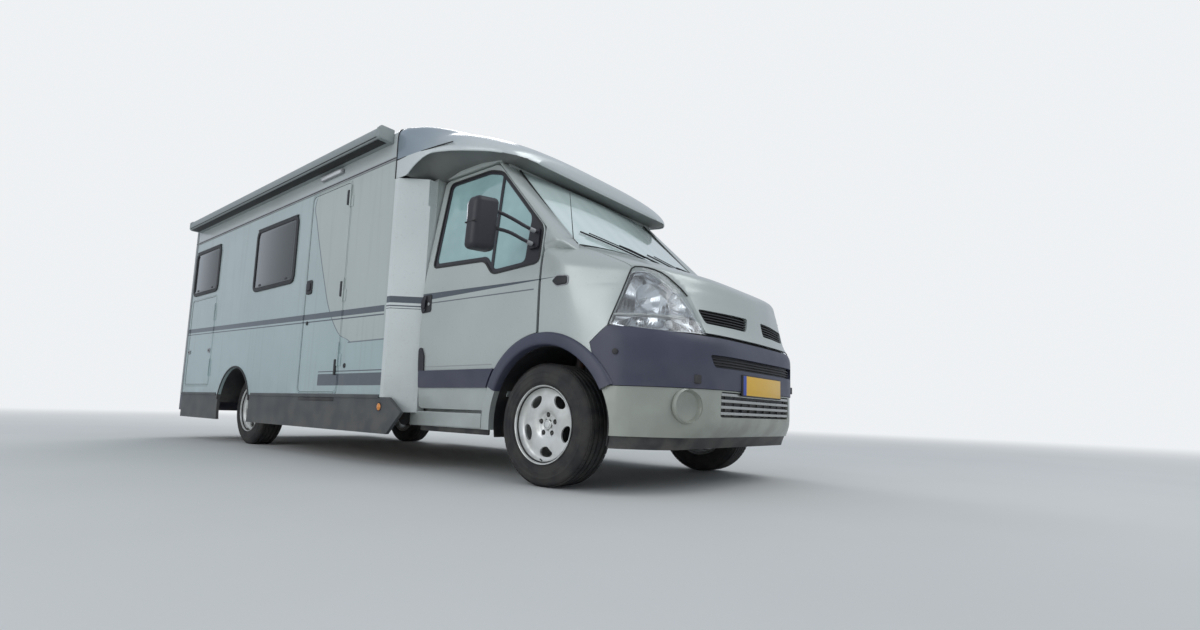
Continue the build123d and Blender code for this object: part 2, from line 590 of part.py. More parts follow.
for side, name in ((-1, "right"), (1, "left")):
    with BuildPart() as cab_door:
        front_prism([(side * y, z) for y, z in DOOR_FRONT], DOOR_REAR_X, DOOR_FRONT_X)
        side_prism(DOOR_SIDE, -1100, 1100, mode=Mode.INTERSECT)
        arch_cut = ARCH_RADIUS + FLARE_WIDTH + SHUT_GAP
        rod(
            (FRONT_AXLE_X, -1100, TYRE_RADIUS), (FRONT_AXLE_X, 1100, TYRE_RADIUS), arch_cut,
            mode=Mode.SUBTRACT,
        )
        side_prism([(ahead(x), z) for x, z in DOOR_WINDOW], -1100, 1100, mode=Mode.SUBTRACT)
        for z in (900, 1060):
            rod(
                (DOOR_PIN_X, side * DOOR_PIN_Y, z + RUN_GAP), (DOOR_PIN_X, side * DOOR_PIN_Y, z + 40),
                DOOR_PIN_RADIUS,
            )
            block(
                DOOR_FRONT_X - 5, DOOR_PIN_X, side * (DOOR_PIN_Y - 6), side * (DOOR_PIN_Y + 2),
                z + RUN_GAP, z + 40
            )
        with Locations((MIRROR_X, side * MIRROR_Y, MIRROR_Z)):
            Box(*MIRROR_SIZE)
        for arm_z in (-35, 55):
            arm_root = (ahead(-150), side * 945, MIRROR_Z + arm_z - 20)
            rod(arm_root, (MIRROR_X, side * (MIRROR_Y - 70), MIRROR_Z + arm_z), 11)
    finish(cab_door, f"{name}_cab_door")
    with BuildPart() as door_glass:
        pane = [
            (BELT_Y - 16, BELT_Z), (CANT_Y - 16, DOOR_HIGH_Z), (CANT_Y - 21, DOOR_HIGH_Z),
            (BELT_Y - 21, BELT_Z),
        ]
        front_prism([(side * y, z) for y, z in pane], DOOR_REAR_X, DOOR_FRONT_X)
        side_prism([(ahead(x), z) for x, z in DOOR_WINDOW], -1100, 1100, mode=Mode.INTERSECT)
    finish(door_glass, f"{name}_door_glass")

# Knuckles with their brake discs
for side, name in ((-1, "right"), (1, "left")):
    with BuildPart() as knuckle:
        wheel_y = side * FRONT_HALF_TRACK
        rod(
            (FRONT_AXLE_X, side * KINGPIN_Y, KINGPIN_LOW_Z),
            (FRONT_AXLE_X, side * KINGPIN_Y, KINGPIN_HIGH_Z),
            KINGPIN_RADIUS,
        )
        spindle_end_y = wheel_y + side * (HUB_OUTER - 4)
        rod(
            (FRONT_AXLE_X, side * KINGPIN_Y, TYRE_RADIUS), (FRONT_AXLE_X, spindle_end_y, TYRE_RADIUS),
            SPINDLE_RADIUS,
        )
        rod(
            (FRONT_AXLE_X, wheel_y - side * 55, TYRE_RADIUS),
            (FRONT_AXLE_X, wheel_y - side * 30, TYRE_RADIUS),
            145,
        )
        block(ahead(-150), FRONT_AXLE_X, side * (KINGPIN_Y - 14), side * (KINGPIN_Y + 6), 255, 285)
    finish(knuckle, f"{name}_knuckle")

# Wheels: one rim and one tyre at each corner
WHEELS = (  # name, axle x, half track, side
    ("front_right", FRONT_AXLE_X, FRONT_HALF_TRACK, -1),
    ("front_left", FRONT_AXLE_X, FRONT_HALF_TRACK, 1),
    ("rear_right", REAR_AXLE_X, REAR_HALF_TRACK, -1),
    ("rear_left", REAR_AXLE_X, REAR_HALF_TRACK, 1),
)
for name, axle_x, half_track, side in WHEELS:
    wheel_axis = Axis((axle_x, 0, TYRE_RADIUS), (0, 1, 0))
    flange_y = BEAD_HALF_WIDTH + FLANGE_WIDTH
    barrel_inner = BEAD_RADIUS - BARREL_WALL
    bore = SPINDLE_RADIUS + RUN_GAP
    rim_profile = [  # distance outboard, radius
        (-flange_y, barrel_inner), (-flange_y, FLANGE_RADIUS), (-BEAD_HALF_WIDTH, FLANGE_RADIUS),
        (-BEAD_HALF_WIDTH, BEAD_RADIUS), (BEAD_HALF_WIDTH, BEAD_RADIUS), (BEAD_HALF_WIDTH, FLANGE_RADIUS),
        (flange_y, FLANGE_RADIUS), (flange_y, barrel_inner), (DISC_OUTER, barrel_inner),
        (DISC_OUTER, HUB_RADIUS),
        (HUB_OUTER, HUB_RADIUS), (HUB_OUTER, bore), (HUB_INNER, bore), (HUB_INNER, HUB_RADIUS),
        (DISC_INNER, HUB_RADIUS), (DISC_INNER, barrel_inner),
    ]
    with BuildPart() as rim:
        with BuildSketch(Plane.YZ.offset(axle_x)) as section:
            with BuildLine():
                Polyline(*[(side * (half_track + o), TYRE_RADIUS + r) for o, r in rim_profile], close=True)
            make_face()
        revolve(section.sketch, axis=wheel_axis)
        with BuildSketch(Plane.XZ.offset(-side * half_track + 75)) as holes:
            with Locations((axle_x, TYRE_RADIUS)):
                with PolarLocations(RIM_HOLE_CIRCLE, RIM_HOLES, start_angle=90):
                    Circle(RIM_HOLE_RADIUS)
        extrude(holes.sketch, amount=-150, mode=Mode.SUBTRACT)
    finish(rim, f"{name}_rim")
    with BuildPart() as tyre:
        with BuildSketch(Plane.YZ.offset(axle_x)) as section:
            with BuildLine():
                tread_y = TYRE_HALF_WIDTH - 17
                heel = [(tread_y, TYRE_RADIUS), (TYRE_HALF_WIDTH - 3, TYRE_RADIUS - 22)]
                bulge = [
                    (TYRE_HALF_WIDTH, TYRE_RADIUS - 60), (BEAD_HALF_WIDTH, FLANGE_RADIUS),
                    (BEAD_HALF_WIDTH, BEAD_RADIUS),
                ]
                half = heel + bulge
                outline = half + [(-o, r) for o, r in reversed(half)]
                Polyline(*[(side * (half_track + o), TYRE_RADIUS + r) for o, r in outline], close=True)
            make_face()
        revolve(section.sketch, axis=wheel_axis)
    finish(tyre, f"{name}_tyre")

# Box floor: a slab with a boxed-in wheel arch at each rear wheel
WHEEL_BOX_HALF_X = 430
WHEEL_BOX_INNER_Y = 700
WHEEL_BOX_HIGH_Z = 800
WHEEL_BOX_WALL = 15
with BuildPart() as box_floor:
    block(BOX_REAR_X + WALL, BOX_FRONT_X, -WALL_INNER_Y, WALL_INNER_Y, FLOOR_LOW_Z, FLOOR_HIGH_Z)
    for side in (-1, 1):
        well_rear_x = REAR_AXLE_X - WHEEL_BOX_HALF_X
        well_front_x = REAR_AXLE_X + WHEEL_BOX_HALF_X
        block(
            well_rear_x - WHEEL_BOX_WALL, well_front_x + WHEEL_BOX_WALL,
            side * (WHEEL_BOX_INNER_Y - WHEEL_BOX_WALL), side * WALL_INNER_Y,
            FLOOR_LOW_Z, WHEEL_BOX_HIGH_Z + WHEEL_BOX_WALL,
        )
        block(
            well_rear_x, well_front_x, side * WHEEL_BOX_INNER_Y, side * WALL_INNER_Y,
            FLOOR_LOW_Z, WHEEL_BOX_HIGH_Z, mode=Mode.SUBTRACT,
        )
finish(box_floor, "box_floor")

# Side walls with their windows, garage doors and the entry door
WINDOWS = {  # rear x, front x, low z, high z
    "right": (
        (ahead(-5495), ahead(-4780), 1590, 2070),
        (ahead(-3800), ahead(-2950), 1470, 2050),
    ),
    "left": (
        (ahead(-5495), ahead(-4780), 1590, 2070),
        (ahead(-3800), ahead(-2950), 1470, 2050),
        (ahead(-2500), ahead(-1850), 1470, 2050),
    ),
}
FRAME_LAP = 18  # how far a window frame covers the wall round its hole
PANEL_Y = BOX_HALF_WIDTH
CUT_INNER_Y = WALL_INNER_Y - 100  # an opening's cut runs well past both faces of the wall
CUT_OUTER_Y = PANEL_Y + 66


def hinge_barrel(axis_x, axis_y, low_z, high_z, plate_x):
    """An upright hinge barrel and the plate that carries it on a wall's outer face."""
    side = 1 if axis_y > 0 else -1
    rod((axis_x, axis_y, low_z), (axis_x, axis_y, high_z), HINGE_RADIUS)
    block(axis_x, plate_x, side * PANEL_Y, side * (PANEL_Y + HINGE_PLATE), low_z, high_z)


def panel_hinges(side, jamb_x, heights, leaf_direction, on_leaf):
    """The hinge halves of one door in a side wall, on the wall or on the leaf."""
    axis_y = side * (PANEL_Y + HINGE_RADIUS)
    for z in heights:
        if on_leaf:
            hinge_barrel(
                jamb_x, axis_y, z + RUN_GAP, z + HINGE_LENGTH, jamb_x + leaf_direction * HINGE_REACH,
            )
        else:
            hinge_barrel(jamb_x, axis_y, z - HINGE_LENGTH, z, jamb_x - leaf_direction * HINGE_REACH)


ENTRY_HINGES = (800, 1300, 2050)
GARAGE_HINGES = (760, 1350)
for side, name in ((-1, "right"), (1, "left")):
    with BuildPart() as side_wall:
        block(BOX_REAR_X + WALL, BOX_FRONT_X, side * WALL_INNER_Y, side * PANEL_Y, WALL_LOW_Z, ROOF_JOINT_Z)
        rod(
            (REAR_AXLE_X, -CUT_OUTER_Y, TYRE_RADIUS), (REAR_AXLE_X, CUT_OUTER_Y, TYRE_RADIUS),
            REAR_ARCH_RADIUS,
            mode=Mode.SUBTRACT,
        )
        for rear_x, front_x, low_z, high_z in WINDOWS[name]:
            block(
                rear_x, front_x, side * CUT_INNER_Y, side * CUT_OUTER_Y, low_z, high_z, mode=Mode.SUBTRACT,
            )
        block(
            GARAGE_REAR_X, GARAGE_FRONT_X, side * CUT_INNER_Y, side * CUT_OUTER_Y, GARAGE_LOW_Z,
            GARAGE_HIGH_Z,
            mode=Mode.SUBTRACT,
        )
        panel_hinges(side, GARAGE_FRONT_X, GARAGE_HINGES, -1, on_leaf=False)
        if side < 0:
            block(
                ENTRY_REAR_X, ENTRY_FRONT_X, side * CUT_INNER_Y, side * CUT_OUTER_Y, ENTRY_LOW_Z,
                ROOF_JOINT_Z,
                mode=Mode.SUBTRACT,
            )
            panel_hinges(side, ENTRY_FRONT_X, ENTRY_HINGES, -1, on_leaf=False)
    finish(side_wall, f"{name}_side_wall")
    with BuildPart() as garage_door:
        block(
            GARAGE_REAR_X + SHUT_GAP, GARAGE_FRONT_X - SHUT_GAP, side * WALL_INNER_Y, side * PANEL_Y,
            GARAGE_LOW_Z + SHUT_GAP, GARAGE_HIGH_Z - SHUT_GAP,
        )
        panel_hinges(side, GARAGE_FRONT_X, GARAGE_HINGES, -1, on_leaf=True)
    finish(garage_door, f"{name}_garage_door")

with BuildPart() as entry_door:
    block(
        ENTRY_REAR_X + SHUT_GAP, ENTRY_FRONT_X - SHUT_GAP, -WALL_INNER_Y, -PANEL_Y,
        ENTRY_LOW_Z + SHUT_GAP, ROOF_JOINT_Z - SHUT_GAP,
    )
    panel_hinges(-1, ENTRY_FRONT_X, ENTRY_HINGES, -1, on_leaf=True)
finish(entry_door, "entry_door")

with BuildPart() as side_windows:
    for side, name in ((-1, "right"), (1, "left")):
        for rear_x, front_x, low_z, high_z in WINDOWS[name]:
            block(
                rear_x - FRAME_LAP, front_x + FRAME_LAP, side * PANEL_Y, side * (PANEL_Y + WINDOW_PROUD),
                low_z - FRAME_LAP, high_z + FRAME_LAP,
            )
finish(side_windows, "side_windows")

# Roof: its outer outline is the rear wall's top too
CROWN_SHOULDER_Y = BOX_HALF_WIDTH - 70


def roof_outline(inset, low_z):
    """Draws the roof's front-view outline, its edges moved in by inset and closed at low_z."""
    edge_y = BOX_HALF_WIDTH - inset
    shoulder_y = CROWN_SHOULDER_Y - inset / 2
    top_z = ROOF_EDGE_Z - inset
    for side in (-1, 1):
        ThreePointArc(
            (side * edge_y, top_z - 70), (side * (edge_y - 18), top_z - 18), (side * shoulder_y, top_z)
        )
        Line((side * edge_y, low_z), (side * edge_y, top_z - 70))
    ThreePointArc((-shoulder_y, top_z), (0, ROOF_CROWN_Z - inset), (shoulder_y, top_z))
    Line((-edge_y, low_z), (edge_y, low_z))


with BuildPart() as box_roof:
    with BuildSketch(Plane.YZ.offset(BOX_REAR_X + WALL)) as section:
        with BuildLine():
            roof_outline(0, ROOF_JOINT_Z)
        make_face()
        with BuildLine():
            roof_outline(WALL, ROOF_JOINT_Z - 1)
        make_face(mode=Mode.SUBTRACT)
    extrude(section.sketch, amount=BOX_FRONT_X - BOX_REAR_X - WALL)
finish(box_roof, "box_roof")

with BuildPart() as rear_wall:
    with BuildSketch(Plane.YZ.offset(BOX_REAR_X)) as section:
        with BuildLine():
            roof_outline(0, WALL_LOW_Z)
        make_face()
    extrude(section.sketch, amount=WALL)
finish(rear_wall, "rear_wall")

# Rooflights, seated on the roof's crown
ROOFLIGHTS = ((ahead(-4900), 500), (ahead(-3000), 700), (ahead(-1750), 500))  # centre x, length
ROOFLIGHT_HALF_Y = 250
ROOFLIGHT_HIGH_Z = ROOF_CROWN_Z + 80
with BuildPart() as rooflights:
    for centre_x, length in ROOFLIGHTS:
        block(
            centre_x - length / 2, centre_x + length / 2, -ROOFLIGHT_HALF_Y, ROOFLIGHT_HALF_Y,
            ROOF_EDGE_Z, ROOFLIGHT_HIGH_Z,
        )
    with BuildSketch(Plane.YZ.offset(BOX_REAR_X)) as section:
        with BuildLine():
            roof_outline(0, WALL_LOW_Z)
        make_face()
    extrude(section.sketch, amount=BOX_FRONT_X - BOX_REAR_X, mode=Mode.SUBTRACT)
finish(rooflights, "rooflights")

# Moulded roof cap over the cab, open below between the cab's roof rails
CAP_WALL = 30
CAP_SLOPE = (1, 0, -0.28)
CAP_REAR_X = BOX_FRONT_X
CAP_SIDE = [  # x ahead, z, down the front, back along the lower edge and up the joint
    (-432, 2178), (-405, 2150), (-411, 2062), (-470, 2070), (-620, 2100), (-900, 2150),
    (-1130, 2170), (-1230, 2155),
    (-1300, 2045),
]


def cap_form(inset):
    """The cap's shape: side, plan and front profiles trimmed together, moved in by inset."""
    with BuildPart() as form:
        with BuildSketch(Plane.XZ.offset(-BOX_HALF_WIDTH)) as side_profile:
            with BuildLine():
                low = CAP_SIDE[0][1] - inset
                front = (ahead(CAP_SIDE[0][0] - inset), low)
                rear_top = (CAP_REAR_X, ROOF_CROWN_Z - inset)
                ThreePointArc(front, (ahead(-860 - inset), 2398 - inset), rear_top)
                lip = (ahead(CAP_SIDE[1][0] - inset), CAP_SIDE[1][1] - inset)
                Polyline(rear_top, (CAP_REAR_X, 2000), (lip[0], 2000), lip, front)
            make_face()
        extrude(side_profile.sketch, amount=2 * BOX_HALF_WIDTH)
        with BuildSketch(Plane.XY.offset(1990)) as plan_profile:
            with BuildLine():
                for side in (-1, 1):
                    rear = (CAP_REAR_X, side * (BOX_HALF_WIDTH - inset))
                    waist = (ahead(-1250), side * (1120 - inset))
                    cheek = (ahead(-560 - 0.5 * inset), side * (985 - inset))
                    corner = (ahead(-405 - inset), side * (690 - 0.5 * inset))
                    Line(rear, waist)
                    ThreePointArc(waist, (ahead(-900), side * (1070 - inset)), cheek)
                    ThreePointArc(cheek, (ahead(-440 - 0.8 * inset), side * (875 - 0.8 * inset)), corner)
                Line((ahead(-405 - inset), -690 + 0.5 * inset), (ahead(-405 - inset), 690 - 0.5 * inset))
                Line((CAP_REAR_X, inset - BOX_HALF_WIDTH), (CAP_REAR_X, BOX_HALF_WIDTH - inset))
            make_face()
        extrude(plan_profile.sketch, amount=700, mode=Mode.INTERSECT)
        with BuildSketch(Plane.YZ.offset(CAP_REAR_X)) as front_profile:
            with BuildLine():
                roof_outline(inset, 1990)
            make_face()
        extrude(front_profile.sketch, amount=1100, dir=CAP_SLOPE, mode=Mode.INTERSECT)
    return form.part


with BuildPart() as roof_cap:
    add(cap_form(0))
    with BuildPart(mode=Mode.PRIVATE) as hollow:
        add(cap_form(CAP_WALL))
        soffit = [(x, z + CAP_WALL) for x, z in CAP_SIDE[2:]]
        cavity = [(ahead(x), z) for x, z in soffit]
        cavity += [
            (CAP_REAR_X, 2045 + CAP_WALL), (CAP_REAR_X, 2700), (ahead(-300), 2700), (ahead(-300), 2092),
        ]
        side_prism(cavity, -BOX_HALF_WIDTH, BOX_HALF_WIDTH, mode=Mode.INTERSECT)
    add(hollow.part, mode=Mode.SUBTRACT)
    below = [(ahead(x), z) for x, z in CAP_SIDE[2:]]
    below += [(CAP_REAR_X, 2045), (CAP_REAR_X, 1900), (ahead(-300), 1900), (ahead(-300), 2062)]
    side_prism(below, -BOX_HALF_WIDTH, BOX_HALF_WIDTH, mode=Mode.SUBTRACT)
    block(CAP_REAR_X, ahead(-640), -780, 780, 1900, 2300, mode=Mode.SUBTRACT)
    block(CAP_REAR_X, ahead(-555), -CANT_Y - 20, CANT_Y + 20, 1900, CANT_RAIL_HIGH_Z, mode=Mode.SUBTRACT)
    block(
        CAP_REAR_X, PILLAR_FRONT_X + SHUT_GAP, -PILLAR_OUTER_Y, PILLAR_OUTER_Y, 1900, CANT_RAIL_HIGH_Z,
        mode=Mode.SUBTRACT,
    )
finish(roof_cap, "roof_cap")

# Corner panels closing the step from the cab's width out to the box's
CORNER_LOW_Z = 380
CORNER_HIGH_Z = 2045
with BuildPart() as corner_panels:
    for side in (-1, 1):
        corner_plan = [
            (BOX_FRONT_X, BOX_HALF_WIDTH), (ahead(-1385), BOX_HALF_WIDTH), (ahead(-1216), 975),
            (ahead(-1216), PILLAR_OUTER_Y), (ahead(-1250), PILLAR_OUTER_Y), (ahead(-1250), 962),
            (ahead(-1398), WALL_INNER_Y), (BOX_FRONT_X, WALL_INNER_Y),
        ]
        plan_prism([(x, side * y) for x, y in corner_plan], CORNER_LOW_Z, CORNER_HIGH_Z)
    for side in (-1, 1):
        block(
            PILLAR_REAR_X, ahead(-460), 0, side * (CAB_HALF_WIDTH - 20), 0, DOOR_LOW_Z - 8,
            mode=Mode.SUBTRACT,
        )
        block(
            BOX_FRONT_X, ahead(-1165), side * (SKIRT_Y - SKIRT_WALL), side * (BOX_HALF_WIDTH + 10),
            0, WALL_LOW_Z,
            mode=Mode.SUBTRACT,
        )
        # Room for the inner top corner of the opening cab door
        block(ahead(-1226), ahead(-1165), side * 800, side * BOX_HALF_WIDTH, 1850, 2100, mode=Mode.SUBTRACT)
finish(corner_panels, "corner_panels")

# Awning cassette along the right roof edge
AWNING_DEPTH = 122
AWNING_HEIGHT = 104
AWNING_Z = ROOF_EDGE_Z - 60
with BuildPart() as awning_cassette:
    with BuildSketch(Plane.YZ.offset(ahead(-5490))) as section:
        with Locations((-BOX_HALF_WIDTH - AWNING_DEPTH / 2, AWNING_Z)):
            RectangleRounded(AWNING_DEPTH, AWNING_HEIGHT, 26)
        with Locations((-BOX_HALF_WIDTH - 20, ROOF_EDGE_Z - 100)):
            Rectangle(40, 60)
        with BuildLine():
            roof_outline(0, WALL_LOW_Z)
        make_face(mode=Mode.SUBTRACT)
    extrude(section.sketch, amount=4003)
finish(awning_cassette, "awning_cassette")

# Skirts below the side walls, cut for the rear wheels and bevelled at the front
with BuildPart() as skirts:
    skirt_side = [
        (BOX_REAR_X + WALL, SKIRT_LOW_Z), (ahead(-1330), SKIRT_LOW_Z), (ahead(-1165), 378),
        (ahead(-1325), WALL_LOW_Z),
        (BOX_REAR_X + WALL, WALL_LOW_Z),
    ]
    for side in (-1, 1):
        side_prism(skirt_side, side * (SKIRT_Y - SKIRT_WALL), side * SKIRT_Y)
    rod(
        (REAR_AXLE_X, -CUT_OUTER_Y, TYRE_RADIUS), (REAR_AXLE_X, CUT_OUTER_Y, TYRE_RADIUS), REAR_ARCH_RADIUS,
        mode=Mode.SUBTRACT,
    )
finish(skirts, "skirts")

# Rear bumper and lamps
with BuildPart() as rear_bumper:
    bumper_outline = [
        (REAR_END_X, 300), (BOX_REAR_X + WALL, 300), (BOX_REAR_X + WALL, WALL_LOW_Z),
        (BOX_REAR_X, WALL_LOW_Z),
        (BOX_REAR_X, 560), (REAR_END_X, 560),
    ]
    side_prism(bumper_outline, -SKIRT_Y, SKIRT_Y)
    block(
        BOX_REAR_X - 4, BOX_REAR_X + WALL, -RAIL_OUTER_Y + 20, RAIL_OUTER_Y - 20, 300, 340,
        mode=Mode.SUBTRACT,
    )
finish(rear_bumper, "rear_bumper")

with BuildPart() as rear_lamps:
    for side in (-1, 1):
        block(BOX_REAR_X, BOX_REAR_X - 20, side * 930, side * 1070, 640, 1010)
finish(rear_lamps, "rear_lamps")
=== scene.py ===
"""Builds the looks of a low-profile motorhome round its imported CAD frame."""

import json
import math

import bpy
from mathutils import Matrix, Vector

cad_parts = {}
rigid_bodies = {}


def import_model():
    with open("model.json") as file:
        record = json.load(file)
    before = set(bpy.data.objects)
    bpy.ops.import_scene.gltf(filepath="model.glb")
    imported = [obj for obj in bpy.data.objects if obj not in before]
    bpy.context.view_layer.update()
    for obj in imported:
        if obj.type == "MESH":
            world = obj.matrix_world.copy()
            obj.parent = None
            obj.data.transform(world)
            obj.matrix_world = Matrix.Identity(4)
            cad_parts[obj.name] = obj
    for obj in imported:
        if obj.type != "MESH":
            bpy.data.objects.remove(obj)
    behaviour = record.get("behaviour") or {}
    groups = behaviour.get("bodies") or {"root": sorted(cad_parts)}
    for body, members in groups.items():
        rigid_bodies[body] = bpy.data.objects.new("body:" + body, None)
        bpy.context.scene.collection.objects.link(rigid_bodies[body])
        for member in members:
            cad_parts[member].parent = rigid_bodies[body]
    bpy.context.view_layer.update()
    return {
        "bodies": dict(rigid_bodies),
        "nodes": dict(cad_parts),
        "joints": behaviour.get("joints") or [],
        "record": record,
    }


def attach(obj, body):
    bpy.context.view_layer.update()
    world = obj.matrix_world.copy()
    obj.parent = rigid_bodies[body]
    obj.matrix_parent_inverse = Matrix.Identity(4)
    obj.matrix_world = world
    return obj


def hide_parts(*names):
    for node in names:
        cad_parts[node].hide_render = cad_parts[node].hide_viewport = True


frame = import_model()

bl_info = {
    "name": "Motorhome looks",
    "version": (1, 0, 0),
    "blender": (4, 5, 0),
    "location": "View3D > Sidebar > Motorhome",
    "description": "Models and finishes the visible pieces of a low-profile motorhome",
    "category": "Add Mesh",
}

FRONT_AXLE_X = 2.372
REAR_AXLE_X = -1.706
AXLE_Z = 0.345
BOX_REAR_X = -3.213
BOX_Y = 1.134
PHOTO_WIDTH = 1200
PHOTO_HEIGHT = 630


def ahead(distance):
    """The x of a point that far ahead of the front axle."""
    return FRONT_AXLE_X + distance


def smooth(value, low, high):
    """0 below low, 1 above high, and a smooth step between."""
    t = min(max((value - low) / (high - low), 0.0), 1.0)
    return t * t * (3 - 2 * t)


def along(table, value):
    """The value of a table of (input, output) pairs at an input, in straight runs."""
    if value <= table[0][0]:
        return table[0][1]
    for (a, b), (c, d) in zip(table, table[1:]):
        if value <= c:
            return b + (d - b) * (value - a) / (c - a)
    return table[-1][1]


# Modelling


def alone(obj):
    """Selects one object only and makes it active."""
    bpy.ops.object.select_all(action="DESELECT")
    obj.select_set(True)
    bpy.context.view_layer.objects.active = obj
    return obj


def editing(obj, *steps):
    """Runs edit mode steps on the whole of an object's mesh."""
    alone(obj)
    bpy.ops.object.mode_set(mode="EDIT")
    bpy.ops.mesh.select_all(action="SELECT")
    for step in steps:
        step()
    bpy.ops.object.mode_set(mode="OBJECT")
    return obj


def merge():
    bpy.ops.mesh.remove_doubles(threshold=0.00002)


def outward():
    bpy.ops.mesh.normals_make_consistent(inside=False)


def settle(obj):
    """Puts an object's place, turn and size into its mesh."""
    alone(obj)
    bpy.ops.object.transform_apply(location=True, rotation=True, scale=True)
    return obj


def moved(obj, place=(0, 0, 0), turn=(0, 0, 0)):
    """Turns an object, moves it, and puts both into its mesh."""
    obj.rotation_euler = turn
    obj.location = place
    return settle(obj)


def modify(obj, kind, **settings):
    """Adds a modifier and applies it."""
    alone(obj)
    modifier = obj.modifiers.new(kind.title(), kind)
    for setting, value in settings.items():
        setattr(modifier, setting, value)
    bpy.ops.object.modifier_apply(modifier=modifier.name)
    return obj


def block(name, low, high, bevel=0.0, segments=3):
    """A box between two corners with its edges rounded."""
    bpy.ops.object.select_all(action="DESELECT")
    centre = [(a + b) / 2 for a, b in zip(low, high)]
    bpy.ops.mesh.primitive_cube_add(size=1, location=centre)
    obj = bpy.context.active_object
    obj.name = name
    obj.scale = [abs(b - a) for a, b in zip(low, high)]
    settle(obj)
    if bevel:
        editing(obj, lambda: bpy.ops.mesh.bevel(offset=bevel, segments=segments, affect="EDGES"))
    return obj


def rounded(points, radius, steps=6):
    """A closed outline with its corners rounded."""
    result = []
    count = len(points)
    for i, corner in enumerate(points):
        corner = Vector(corner)
        ends = []
        for other in (points[i - 1], points[(i + 1) % count]):
            run = Vector(other) - corner
            ends.append(corner + run.normalized() * min(radius, run.length * 0.46))
        for k in range(steps + 1):
            t = k / steps
            result.append((1 - t) ** 2 * ends[0] + 2 * t * (1 - t) * corner + t * t * ends[1])
    return [tuple(p) for p in result]


def oblong(x_low, x_high, z_low, z_high, radius):
    """A rounded rectangle's outline."""
    return rounded([(x_low, z_low), (x_high, z_low), (x_high, z_high), (x_low, z_high)], radius)


def grown(outline, amount):
    """An outline moved outward by an amount, or inward where it is negative."""
    area = sum(a[0] * b[1] - b[0] * a[1] for a, b in zip(outline, outline[1:] + outline[:1]))
    sign = 1 if area > 0 else -1
    result = []
    for i, point in enumerate(outline):
        before = Vector(point) - Vector(outline[i - 1])
        after = Vector(outline[(i + 1) % len(outline)]) - Vector(point)
        run = (before.normalized() + after.normalized()).normalized()
        result.append((point[0] + sign * run[1] * amount, point[1] - sign * run[0] * amount))
    return result


VIEWS = {  # how a flat outline is turned, and the direction of its thickness
    "side": ((math.pi / 2, 0, 0), (0, 1, 0)),
    "front": ((math.pi / 2, 0, math.pi / 2), (1, 0, 0)),
    "plan": ((0, 0, 0), (0, 0, 1)),
}


def meshed(name, curve):
    """A curve's object, made a mesh."""
    obj = bpy.data.objects.new(name, curve)
    bpy.context.collection.objects.link(obj)
    alone(obj)
    bpy.ops.object.convert(target="MESH")
    return bpy.context.active_object


def plate(name, outlines, low, high, view="side", bevel=0.0):
    """A flat curve of outlines seen from one side, given its thickness and rounded edges, made a mesh."""
    curve = bpy.data.curves.new(name, "CURVE")
    curve.dimensions = "2D"
    curve.fill_mode = "BOTH"
    for outline in outlines if isinstance(outlines[0][0], (tuple, list)) else [outlines]:
        spline = curve.splines.new("POLY")
        spline.points.add(len(outline) - 1)
        for point, (a, b) in zip(spline.points, outline):
            point.co = (a, b, 0, 1)
        spline.use_cyclic_u = True
    curve.extrude = abs(high - low) / 2 - bevel
    curve.bevel_depth = bevel
    curve.bevel_resolution = 2
    curve.offset = -bevel
    turn, direction = VIEWS[view]
    obj = moved(meshed(name, curve), Vector(direction) * (low + high) / 2, turn)
    return editing(obj, merge, outward)


def tube(name, points, radius, kind="POLY", taper=1.0):
    """A round bar along points; taper is the last radius as a share of the first."""
    curve = bpy.data.curves.new(name, "CURVE")
    curve.dimensions = "3D"
    curve.bevel_depth = radius
    curve.bevel_resolution = 3
    curve.use_fill_caps = True
    curve.resolution_u = 8
    spline = curve.splines.new(kind)
    spline.points.add(len(points) - 1)
    for i, (point, place) in enumerate(zip(spline.points, points)):
        point.co = (*place, 1)
        point.radius = 1 + (taper - 1) * i / (len(points) - 1)
    if kind == "NURBS":
        spline.order_u = 3
        spline.use_endpoint_u = True
    return editing(meshed(name, curve), merge, outward)


def turned(name, profile, centre=(0, 0, 0), axis=(0, 1, 0), steps=64, closed=False):
    """A profile of (distance along the axis, radius) points spun round the axis through centre."""
    curve = bpy.data.curves.new(name, "CURVE")
    curve.dimensions = "3D"
    spline = curve.splines.new("POLY")
    spline.points.add(len(profile) - 1)
    axis = Vector(axis).normalized()
    out = axis.orthogonal().normalized()
    for point, (distance, radius) in zip(spline.points, profile):
        point.co = (*(Vector(centre) + axis * distance + out * radius), 1)
    spline.use_cyclic_u = closed

    def spin():
        bpy.ops.mesh.spin(steps=steps, angle=math.tau, center=centre, axis=axis)

    return editing(meshed(name, curve), spin, merge, outward)


def surface(name, rows, facing):
    """A grid primitive with its vertices moved to rows of points; its middle face points to facing."""
    bpy.ops.object.select_all(action="DESELECT")
    bpy.ops.mesh.primitive_grid_add(x_subdivisions=len(rows[0]) - 1, y_subdivisions=len(rows) - 1, size=1)
    obj = bpy.context.active_object
    obj.name = name
    flat = [value for row in rows for point in row for value in point]
    obj.data.vertices.foreach_set("co", flat)
    obj.data.update()
    across = len(rows[0]) - 1
    middle = obj.data.polygons[(len(rows) - 1) // 2 * across + across // 2]
    if middle.normal.dot(Vector(facing)) < 0:
        editing(obj, bpy.ops.mesh.flip_normals)
    return obj


def shell(obj, thickness):
    """Gives an open surface a wall inwards."""
    return modify(obj, "SOLIDIFY", thickness=thickness, offset=-1)


def carve(obj, *tools, operation="DIFFERENCE"):
    """Cuts a mesh by others, which are used up."""
    for tool in tools:
        modify(obj, "BOOLEAN", operation=operation, object=tool, solver="EXACT")
        bpy.data.objects.remove(tool)
    return obj


def kept_inside(obj, tool):
    """What another mesh encloses of a mesh."""
    return carve(obj, tool, operation="INTERSECT")


